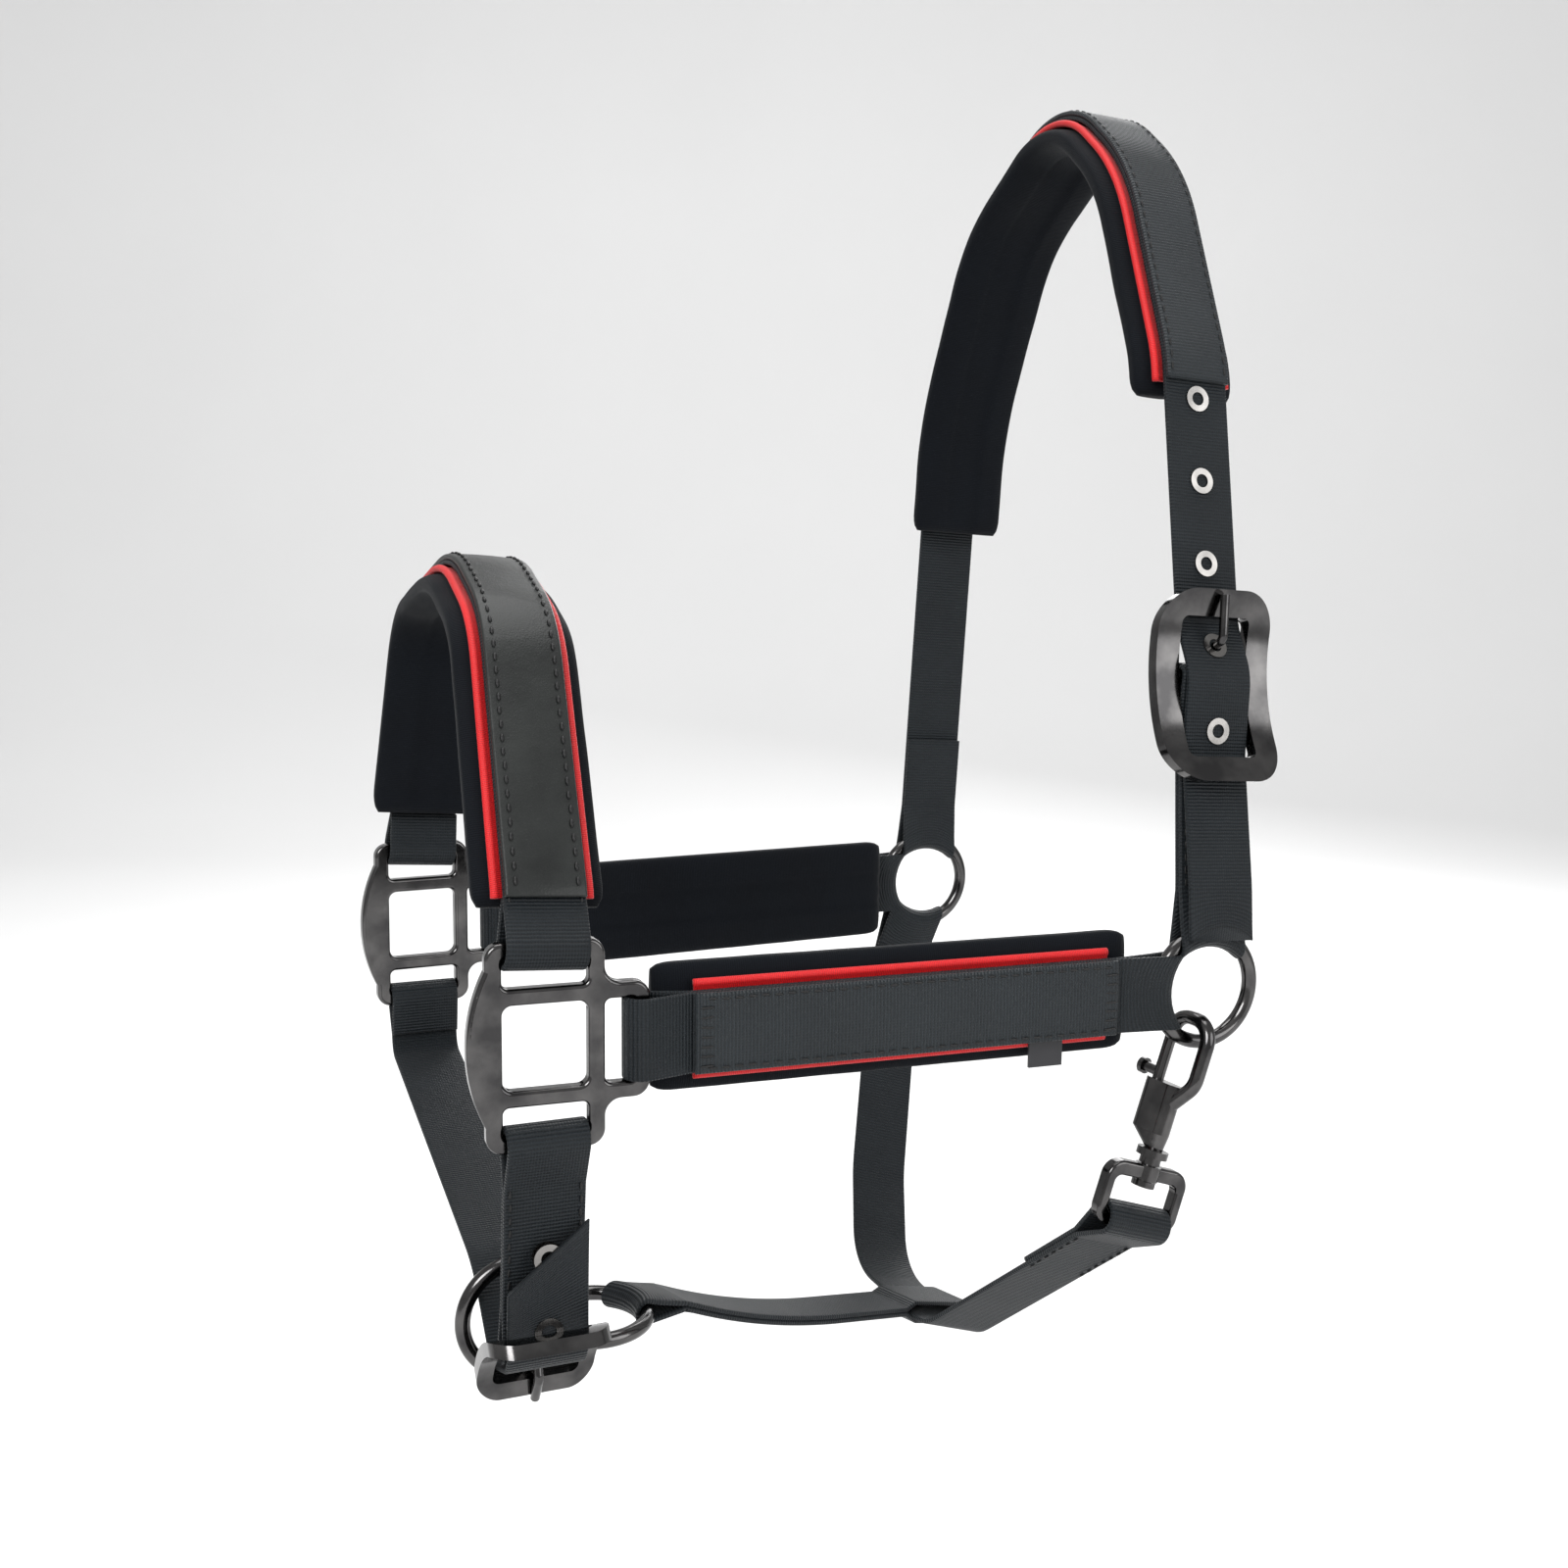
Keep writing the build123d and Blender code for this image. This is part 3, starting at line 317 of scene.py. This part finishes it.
def woven(name, dark, light, pitch, rough, bump, sheen, spec=0.4):
    """Woven tape: crossing ribs along and across, from UVs in metres, with broad variation."""
    m, nt, p = material(name)
    uv = node(nt, "ShaderNodeTexCoord")
    mm = node(nt, "ShaderNodeMapping", {"Vector": uv.outputs["UV"]}, _Scale=(1000, 1000, 1000))
    rib = node(nt, "ShaderNodeTexWave", {"Vector": mm.outputs[0]}, bands_direction="X", _Scale=WAVE / pitch,
               _Distortion=0.6, _Detail=1.0)
    warp = node(nt, "ShaderNodeTexWave", {"Vector": mm.outputs[0]}, bands_direction="Y",
                _Scale=WAVE / (pitch * WARP_SHARE), _Distortion=0.3, _Detail=1.0)
    thread = node(nt, "ShaderNodeTexNoise", {"Vector": mm.outputs[0]}, _Scale=1.7, _Detail=3)
    mix = node(nt, "ShaderNodeMath", {0: warp.outputs["Fac"], 2: rib.outputs["Fac"]}, operation="MULTIPLY_ADD")
    mix.inputs[1].default_value = 0.25
    add = node(nt, "ShaderNodeMath", {0: thread.outputs["Fac"], 2: mix.outputs[0]}, operation="MULTIPLY_ADD")
    add.inputs[1].default_value = 0.35
    obj = node(nt, "ShaderNodeTexCoord")
    broad = node(nt, "ShaderNodeTexNoise", {"Vector": obj.outputs["Object"]}, _Scale=55, _Detail=4)
    fuzz = node(nt, "ShaderNodeTexNoise", {"Vector": obj.outputs["Object"]}, _Scale=2600, _Detail=2)
    tone = node(nt, "ShaderNodeMix", {"Factor": broad.outputs["Fac"]}, data_type="RGBA")
    tone.inputs[6].default_value, tone.inputs[7].default_value = (*dark, 1), (*light, 1)
    # painted shade and highlight: the weave height that drives the bump also darkens the grooves and brightens
    # the rib tops in the colour
    painted_rib_shade = node(nt, "ShaderNodeMix", {}, data_type="RGBA", blend_type="MULTIPLY")
    painted_rib_shade.inputs["Factor"].default_value = 0.75
    nt.links.new(tone.outputs[2], painted_rib_shade.inputs[6])
    nt.links.new(ramp(nt, add.outputs[0], (0.45, 0.45, 0.45), (1.25, 1.25, 1.25), 0.2, 1.4), painted_rib_shade.inputs[7])
    nt.links.new(painted_rib_shade.outputs[2], p.inputs["Base Color"])
    rr = node(nt, "ShaderNodeMapRange", {"Value": broad.outputs["Fac"]},
              _To_Min=rough - 0.07, _To_Max=rough + 0.07)
    nt.links.new(rr.outputs[0], p.inputs["Roughness"])
    hb = node(nt, "ShaderNodeMath", {0: fuzz.outputs["Fac"], 1: add.outputs[0]}, operation="MULTIPLY_ADD")
    hb.inputs[1].default_value = 0.35
    nt.links.new(add.outputs[0], hb.inputs[2])
    b = node(nt, "ShaderNodeBump", {"Height": hb.outputs[0]}, _Strength=bump, _Distance=0.0003)
    nt.links.new(b.outputs[0], p.inputs["Normal"])
    p.inputs["Sheen Weight"].default_value = sheen
    p.inputs["Sheen Roughness"].default_value = 0.4
    p.inputs["Specular IOR Level"].default_value = spec
    return m


def metal(name, dark, light, rough):
    m, nt, p = material(name)
    obj = node(nt, "ShaderNodeTexCoord")
    broad = node(nt, "ShaderNodeTexNoise", {"Vector": obj.outputs["Object"]}, _Scale=90, _Detail=5)
    fine = node(nt, "ShaderNodeTexNoise", {"Vector": obj.outputs["Object"]}, _Scale=1400, _Detail=3)
    nt.links.new(ramp(nt, broad.outputs["Fac"], dark, light, 0.35, 0.7), p.inputs["Base Color"])
    rr = node(nt, "ShaderNodeMapRange", {"Value": fine.outputs["Fac"]},
              _To_Min=rough - 0.05, _To_Max=rough + 0.1)
    nt.links.new(rr.outputs[0], p.inputs["Roughness"])
    b = node(nt, "ShaderNodeBump", {"Height": broad.outputs["Fac"]}, _Strength=0.08, _Distance=0.0003)
    nt.links.new(b.outputs[0], p.inputs["Normal"])
    p.inputs["Metallic"].default_value = 1.0
    return m


def leather():
    m, nt, p = material("black_leather")
    obj = node(nt, "ShaderNodeTexCoord")
    grain = node(nt, "ShaderNodeTexVoronoi", {"Vector": obj.outputs["Object"]}, feature="DISTANCE_TO_EDGE",
                 _Scale=1100)
    soft = node(nt, "ShaderNodeTexNoise", {"Vector": obj.outputs["Object"]}, _Scale=70, _Detail=5)
    crease = node(nt, "ShaderNodeTexNoise", {"Vector": obj.outputs["Object"]}, _Scale=420, _Detail=4)
    nt.links.new(ramp(nt, soft.outputs["Fac"], (0.005, 0.006, 0.0058), (0.0125, 0.0145, 0.0135), 0.3, 0.75),
                 p.inputs["Base Color"])
    rr = node(nt, "ShaderNodeMapRange", {"Value": soft.outputs["Fac"]}, _To_Min=0.34, _To_Max=0.52)
    nt.links.new(rr.outputs[0], p.inputs["Roughness"])
    h = node(nt, "ShaderNodeMath", {0: grain.outputs["Distance"], 1: crease.outputs["Fac"]}, operation="ADD")
    b = node(nt, "ShaderNodeBump", {"Height": h.outputs[0]}, _Strength=0.3, _Distance=0.0003)
    nt.links.new(b.outputs[0], p.inputs["Normal"])
    p.inputs["Coat Weight"].default_value = 0.05
    p.inputs["Specular IOR Level"].default_value = 0.3
    return m


WEBBING = woven("black_webbing", (0.0045, 0.0062, 0.0078), (0.011, 0.0145, 0.0175), 1.15, 0.5, 0.7, 0.03, 0.2)
OVERLAY = woven("overlay_webbing", (0.006, 0.0085, 0.0105), (0.014, 0.0185, 0.022), 1.15, 0.44, 0.7, 0.03, 0.28)
PADDING = woven("soft_padding", (0.0018, 0.0024, 0.0038), (0.0042, 0.0056, 0.008), 0.7, 0.85, 0.25, 0.06, 0.1)
PIPING = woven("red_piping", (0.42, 0.002, 0.004), (0.62, 0.006, 0.009), 0.6, 0.55, 0.35, 0.1, 0.35)
THREAD = woven("thread", (0.001, 0.001, 0.0012), (0.003, 0.003, 0.004), 0.5, 0.5, 0.3, 0.0)
TAB = woven("tab", (0.02, 0.02, 0.024), (0.035, 0.035, 0.04), 0.5, 0.55, 0.3, 0.1)
LEATHERED = leather()
GUNMETAL = metal("dark_metal", (0.05, 0.049, 0.05), (0.11, 0.107, 0.106), 0.13)
NICKEL = metal("bright_metal", (0.16, 0.155, 0.15), (0.3, 0.29, 0.28), 0.18)


def finish_piece(obj, body, mat, nodes=()):
    obj.data.materials.clear()
    obj.data.materials.append(mat)
    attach(obj, body)
    if nodes:
        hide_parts(*nodes)
    return obj


def ring_bend(centre, toward, axis):
    toward, axis = Vector(toward).normalized(), Vector(axis)
    return (Vector(centre), toward, toward.cross(axis).normalized())


V = Vector
FLAT = section(WEB_WIDTH, WEB, 0.7)
NARROW = section(20.0, WEB, 0.7)
DOMED = section(WEB_WIDTH, WEB, 0.8, 0.3)
NEAR_RING, OFF_RING = (RING_X, -RING_Y, RING_Z), (RING_X, RING_Y, RING_Z)

# crown
LEG = math.degrees(math.atan2(190, 44))
FOOT = (-91.0, 104.0)


def leg(s, o=0.0):
    return polar(FOOT, LEG, s, o)


ARCH = [leg(110.9), (-33, 280), (14, 314), (74, 274), (103.8, 198)]
ARCH_R = [60, 80, 47, 70, 120]
strap = [leg(-84), leg(-27), leg(0, 5.5), leg(17.5)] + ARCH + [(103.8, 34)]
strap = shifted(rounded(strap, [25, 22, 25] + ARCH_R), -WEB / 2)
tail = beginning_at(fold((RING_Y, RING_R), 90, 2.5), strap[-1])
strap = strap[:-1] + resample(tail, 1.6) \
    + resample([V((RING_Y - WEB / 2, 33.5)), V((RING_Y - WEB / 2, 62))], 3)[1:]
CB = [ring_bend(OFF_RING, CROWN.y, (0, 1, 0))]
NB = [ring_bend(NEAR_RING, CROWN.y, (0, 1, 0))]
finish_piece(sweep("crown_strap_web", CROWN, strap, FLAT, bend=CB), "crown", WEBBING, ["crown_strap"])
arch_line = rounded([leg(101)] + ARCH + [(103.8, 160)], ARCH_R)
finish_piece(sweep("crown_overlay_web", CROWN, shifted(arch_line, WEB / 2), DOMED), "crown", OVERLAY,
             ["crown_overlay"])
finish_piece(stitches("crown_stitches", CROWN, arch_line, (-10.6, 10.6), WEB + 0.15), "crown", THREAD)


def piping_section():
    """A flat binding with a rolled edge each side."""
    pts = []
    w, t, r = 14.2, 0.55, 1.35
    for side in (1, -1):
        for k in range(13):
            a = math.radians(-150 + 300 * k / 12)
            pts.append((side * (w + r * math.cos(a)), side * r * math.sin(a) * 0.95))
    return pts


def pad_section():
    """A soft pad's section, domed inwards, with two sewn channels along its inner face."""
    pts = []
    w, thick, dome, channel = 20.0, 4.2, 0.14, 6.2
    for k in range(96):
        a = 2 * math.pi * k / 96
        x = w * math.copysign(abs(math.cos(a)) ** 0.45, math.cos(a))
        y = thick * math.copysign(abs(math.sin(a)) ** 0.6, math.sin(a))
        if y < 0:
            y *= 1 + dome * max(0.0, 1 - (x / w) ** 2)
            y += 1.5 * math.exp(-((abs(x) - channel) / 0.9) ** 2)
        else:
            y *= 1.0 - 0.12 * (x / w) ** 4
        pts.append((x, y))
    return pts


PIPE_MID, PAD_MID = -WEB - 1.3, -WEB - 2.6 - 4.2


def trim(name, plane, base, body, piping, padding, pad_line, mirror=False):
    roll = sweep(name + "_piping_roll", plane, shifted(base, PIPE_MID), piping_section(), mirror=mirror)
    finish_piece(roll, body, PIPING, [piping])
    pad = sweep(name + "_pad", plane, shifted(pad_line, PAD_MID), pad_section(), wobble=0.45, end_round=7,
                mirror=mirror)
    finish_piece(pad, body, PADDING, [padding])


trim("crown", CROWN, arch_line, "crown", "crown_piping", "crown_padding",
     pad_line=rounded([leg(97.5)] + ARCH + [(103.8, 152)], ARCH_R))

# billet: a doubled strap from the near ring to the buckle's bar
bar = leg(0, -1.6)
bh = heading((-RING_Y, RING_R), bar)
low = fold((-RING_Y, RING_R), bh, 2.5)
high = fold(bar, bh + 180, 2.0)
billet = resample(low + high + [low[0]], 2.0)[:-1]
finish_piece(sweep("crown_billet_web", CROWN, billet, FLAT, closed=True, bend=NB), "crown", WEBBING,
             ["crown_billet"])

# noseband
NOSE_PTS = [(-87.8, 46), (-38, 124), (10, 142), (70, 126), (91.2, 52)]
NOSE_R = [15, 50, 60, 35, 15]
near_fold, off_fold = fold((-SQUARE_Y, BAR_AT), 78, 4.7, 14), fold((SQUARE_Y, BAR_AT), 102, 4.7, 14)
nose = shifted(rounded([(-89.3, 42.5)] + NOSE_PTS + [(89.3, 42.5)], NOSE_R), -WEB / 2)
nose = ending_at(near_fold, nose[0]) + nose[1:-1] + beginning_at(off_fold, nose[-1])
finish_piece(sweep("noseband_web", NOSE, resample(nose, 1.8), FLAT), "face", WEBBING, ["noseband_webbing"])


def share(a, b, t):
    return (a[0] + t * (b[0] - a[0]), a[1] + t * (b[1] - a[1]))


NN, NF = (-89.3, 41.3), (89.3, 41.3)
nose_line = rounded([share(NN, NOSE_PTS[0], 0.5)] + NOSE_PTS + [share(NF, NOSE_PTS[4], 0.3)], NOSE_R)
strip = sweep("noseband_leather_strip", NOSE, shifted(nose_line, LEATHER / 2), section(24.6, LEATHER, 0.9, 0.5))
finish_piece(strip, "face", LEATHERED, ["noseband_leather"])
sewn = stitches("noseband_stitches", NOSE, nose_line, (-9.4, 9.4), 2.5, pitch=4.6, thick=0.6)
finish_piece(sewn, "face", THREAD)
trim("noseband", NOSE, nose_line, "face", "noseband_piping", "noseband_padding",
     pad_line=rounded([share(NN, NOSE_PTS[0], 0.1)] + NOSE_PTS + [share(NF, NOSE_PTS[4], 0.1)], NOSE_R))

# cheeks
flare = math.degrees(math.atan2(RING_Y - SQUARE_Y, RING_X - SQUARE_X))
sq = (SQUARE_X + BAR_AT * math.cos(math.radians(flare)), -SQUARE_Y - BAR_AT * math.sin(math.radians(flare)))
rg = (RING_X - RING_R, -RING_Y)
ck, cl = heading(sq, rg), math.dist(sq, rg)


def cheek(a):
    return share(sq, rg, a / cl)


for side, flip in (("near", False), ("off", True)):
    one, two = fold(sq, ck, 3.8), fold(rg, ck + 180, 2.5)
    loop = resample(one + two + [one[0]], 2.0)[:-1]
    bend = [ring_bend(NEAR_RING, (-1, 0, 0), (0, 1, 0))]
    web = sweep(side + "_cheek_web", CHEEK, loop, FLAT, closed=True, bend=bend, mirror=flip)
    finish_piece(web, "face", WEBBING,
                 [side + "_cheek_webbing"])
    over = resample([V(cheek(cl - 17)), V(cheek(16))], 2.0)
    overlay = sweep(side + "_cheek_overlay_web", CHEEK, shifted(over, 1.5 * WEB), DOMED, mirror=flip)
    finish_piece(overlay, "face", OVERLAY, [side + "_cheek_overlay"])
    sewn = stitches(side + "_cheek_stitches", CHEEK, over, (-10.6, 10.6), 2 * WEB + 0.15, mirror=flip)
    finish_piece(sewn, "face", THREAD)
    bars = resample([V(cheek(cl - 18)), V(cheek(17))], 2.0)
    trim(side + "_cheek", CHEEK, bars, "face", side + "_cheek_piping", side + "_cheek_padding", mirror=flip,
         pad_line=resample([V(cheek(cl - 9)), V(cheek(5))], 2.0))

# chin straps
F, B = (-97.9, -89.0), (-74.1, -110.4)
CH = heading(B, F)
MID = ((F[0] + B[0]) / 2, (F[1] + B[1]) / 2)
top, dip = polar(MID, CH, 1.5, 1.6), polar(MID, CH, -16, -6.3)
chin_bar = polar(MID, CH, 0, -5.2)
off_bar = (SQUARE_Y, -BAR_AT)


def off_end(along, inward):
    return polar(off_bar, -100, along, -inward)


chin = [(-91.2, -54), (-91.2, -95.2), top, dip, (-46, -83), off_end(21, -0.9), off_end(14, -0.9)]
chin = rounded(chin, [6, 6, 7, 40, 10], 1.5)
turn = beginning_at(fold(off_bar, -100, 3.8, 14), chin[-1])


def tail_cut(q, x):
    """The tail's slanted end: points above the cut drop to it."""
    low, top = RING_Z - 92, RING_Z - 54
    if -96 < q.y < -88 and q.z > low:
        high = top - 20 + 20 * (x / WEB_WIDTH + 0.5)
        share_up = (q.z - low) / (top - low)
        return V((q.x, q.y - 1.6 * max(0.0, share_up) ** 2, low + (high - low) * share_up))
    return q


finish_piece(sweep("chin_strap_off_web", CHIN, chin[:-1] + resample(turn, 1.6), FLAT, cut=tail_cut), "face",
             WEBBING, ["chin_strap_off"])
nb = (-SQUARE_Y, -BAR_AT)
nh = heading(nb, chin_bar)
one, two = fold(nb, nh, 3.8, 14), fold(chin_bar, nh + 180, 2.0)
near_loop = resample(one + two + [one[0]], 1.8)[:-1]
finish_piece(sweep("chin_strap_near_web", CHIN, near_loop, FLAT, closed=True), "face", WEBBING,
             ["chin_strap_near"])

# throat strap
eye = (-RING_Y, -RING_R - 64.0)
th = heading(eye, (-20, -155))
route = [(RING_Y, -33.3), (97, -52), (64, -122), (40, -155), (-20, -155), polar(eye, th, 15)]
throat = shifted(rounded(route, [60, 60, 30, 18]), WEB / 2)
hang = ending_at(fold((RING_Y, -RING_R), -90, 2.5), throat[0])
hook = beginning_at(fold(eye, th, 4.1), throat[-1])
layer = WEB / 2 if (hook[-1] - V(polar(eye, th, 15, WEB / 2))).length < 1 else -WEB / 2
back = [V(polar(eye, th, 16, layer)), V(polar(eye, th, 44, layer))]
whole = resample(hang + throat[1:-1] + hook + resample(back, 3), 1.8)
web = sweep("throat_strap_web", THROAT, whole, FLAT, bend=[ring_bend(OFF_RING, -THROAT.y, (0, 1, 0))])
finish_piece(web, "face", WEBBING, ["throat_strap"])

# jowl strap
JR = V((SQUARE_X + 26.0, -48.0, RING_Z - 106.0))
cross = THROAT.at(3, -155.9)
aim = math.atan2(cross.y - JR.y, cross.x - JR.x)
toward = V((math.cos(aim), math.sin(aim), 0))
JOWL = Across(JR, toward, (0, 0, 1))
mid = (math.hypot(cross.x - JR.x, cross.y - JR.y), cross.z - JR.z)
slope = -math.degrees(math.atan(math.tan(math.radians(18)) * math.cos(aim)))
half, high_half = 18.5, (5.0 + WEB) / 2
line = rounded([(RING_R + 14.5, -2.9), (70, -21), polar(mid, slope, -half - 1)], [300])
ring_fold = fold((RING_R, 0), -11, 2.5)
upper, lower = shifted(line, WEB / 2), shifted(line, -WEB / 2)
slot = [polar(mid, slope, x, y) for x, y in
        [(-half + 3, high_half)] + [(-half + 3 + (2 * half - 5) * k / 12, high_half) for k in range(1, 12)]]
slot += [polar(mid, slope, half - 3 + high_half * math.cos(a), high_half * math.sin(a))
         for a in [math.pi / 2 - math.pi * k / 10 for k in range(11)]]
slot += [polar(mid, slope, half - 5 - (2 * half - 8) * k / 12, -high_half) for k in range(12)]
loop = upper + [V(p) for p in slot] + lower[::-1]
loop = resample(loop + beginning_at(ring_fold, loop[-1]) + [loop[0]], 1.8)[:-1]
web = sweep("jowl_strap_web", JOWL, loop, NARROW, closed=True, bend=[ring_bend(JR, toward, (0, 0, 1))])
finish_piece(web, "face", WEBBING,
             ["jowl_strap"])

# stitch rows and boxes where straps are doubled
doubled = [("crown_off", CROWN, [(103.8, 60), (103.8, 36)], 0.2, "crown"),
           ("crown_near", CROWN, [polar((-RING_Y, RING_R), bh, s, 2.0) for s in (16, 62)], 0.1, "crown"),
           ("chin_near", CHIN, [polar(nb, nh, s, -2.0) for s in (14, 46)], -0.1, "face"),
           ("throat_near", THROAT, [polar(eye, th, s, -2.0) for s in (16, 43)], -0.1, "face"),
           ("noseband_near", NOSE, [(-89.3, 42.2), (-87.8, 46)], 0.1, "face")]
for name, plane, ends, height, body in doubled:
    pts = resample([V(e) for e in ends], 2.0)
    finish_piece(stitches(name + "_stitches", plane, pts, (-10.8, 10.8), height, start=1, end=0), body, THREAD)
for k, at in enumerate((19.5, cl - 19.5)):
    for flip in (False, True):
        ends = [V(cheek(at + 1.2)), V(cheek(at - 1.2))]
        tack = stitches(f"cheek_tack_{k}_{int(flip)}", CHEEK, ends, range(-10, 11, 3), 2 * WEB + 0.2, start=0.4,
                        end=0, pitch=1.6, mirror=flip)
        finish_piece(tack, "face", THREAD)

# nodes that stay as the frame has them
for name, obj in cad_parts.items():
    if name == "size_tab":
        own = TAB
    elif any(k in name for k in ("ring", "square", "buckle", "snap")):
        own = GUNMETAL
    elif "eyelets" in name:
        own = NICKEL
    else:
        continue
    obj.data.materials.clear()
    obj.data.materials.append(own)

# ---- floor, light, camera ----
floor_mat, nt, p = material("pale_floor")
fc = node(nt, "ShaderNodeTexCoord")
fn = node(nt, "ShaderNodeTexNoise", {"Vector": fc.outputs["Object"]}, _Scale=3, _Detail=2)
nt.links.new(ramp(nt, fn.outputs["Fac"], (0.79, 0.79, 0.79), (0.82, 0.82, 0.82)), p.inputs["Base Color"])
p.inputs["Roughness"].default_value = 0.9
FLOOR_Z, BEND_Y, BEND_R, HALF_WIDE, STEPS = -0.56, 1.6, 1.0, 4.5, 24
angles = [math.pi / 2 * k / STEPS for k in range(1, STEPS + 1)]
sweep_up = [(BEND_Y + BEND_R * math.sin(a), FLOOR_Z + BEND_R * (1 - math.cos(a))) for a in angles]
profile = [(-2.5, FLOOR_Z), (BEND_Y, FLOOR_Z)] + sweep_up + [(BEND_Y + BEND_R, 3.5)]
verts = []
for y, z in profile:
    verts += [(-HALF_WIDE, y, z), (HALF_WIDE, y, z)]
faces = [(2 * i, 2 * i + 1, 2 * i + 3, 2 * i + 2) for i in range(len(profile) - 1)]
mesh = bpy.data.meshes.new("backdrop")
mesh.from_pydata(verts, [], faces)
for poly in mesh.polygons:
    poly.use_smooth = True
floor = bpy.data.objects.new("backdrop", mesh)
bpy.context.scene.collection.objects.link(floor)
floor.rotation_euler = (0, 0, math.radians(-23))
mesh.materials.append(floor_mat)


def area(name, place, target, size, power):
    light = bpy.data.lights.new(name, "AREA")
    light.shape, light.size, light.energy = "DISK", size, power
    obj = bpy.data.objects.new(name, light)
    bpy.context.scene.collection.objects.link(obj)
    obj.location = place
    obj.rotation_euler = (V(target) - V(place)).to_track_quat("-Z", "Y").to_euler()


centre = (-0.12, 0, -0.2)
area("key", (-1.5, -1.2, 0.9), centre, 1.1, 34)
area("fill", (0.9, -1.6, 0.3), centre, 1.4, 16)
area("top", (-0.1, 0.2, 1.5), centre, 1.6, 24)
area("rim", (0.9, 1.3, 0.5), centre, 1.2, 14)
world = bpy.data.worlds.new("studio")
bpy.context.scene.world = world
world.use_nodes = True
world.node_tree.nodes["Background"].inputs[0].default_value = (1, 1, 1, 1)
world.node_tree.nodes["Background"].inputs[1].default_value = 0.55

camera = bpy.data.objects.new("camera", bpy.data.cameras.new("camera"))
bpy.context.scene.collection.objects.link(camera)
camera.data.lens, camera.data.sensor_width = 40.0, 36.0
yaw, pitch, roll = math.radians(23.0), math.radians(7.7), math.radians(0.6)
look = V((math.sin(yaw) * math.cos(pitch), math.cos(yaw) * math.cos(pitch), -math.sin(pitch)))
camera.rotation_euler = (look.to_track_quat("-Z", "Y").to_matrix() @ Matrix.Rotation(roll, 3, "Z")).to_euler()
camera.location = (-0.3695, -0.5722, -0.1425)
camera.data.clip_start = 0.01
bpy.context.scene.camera = camera
bpy.context.scene.view_settings.view_transform = "Standard"
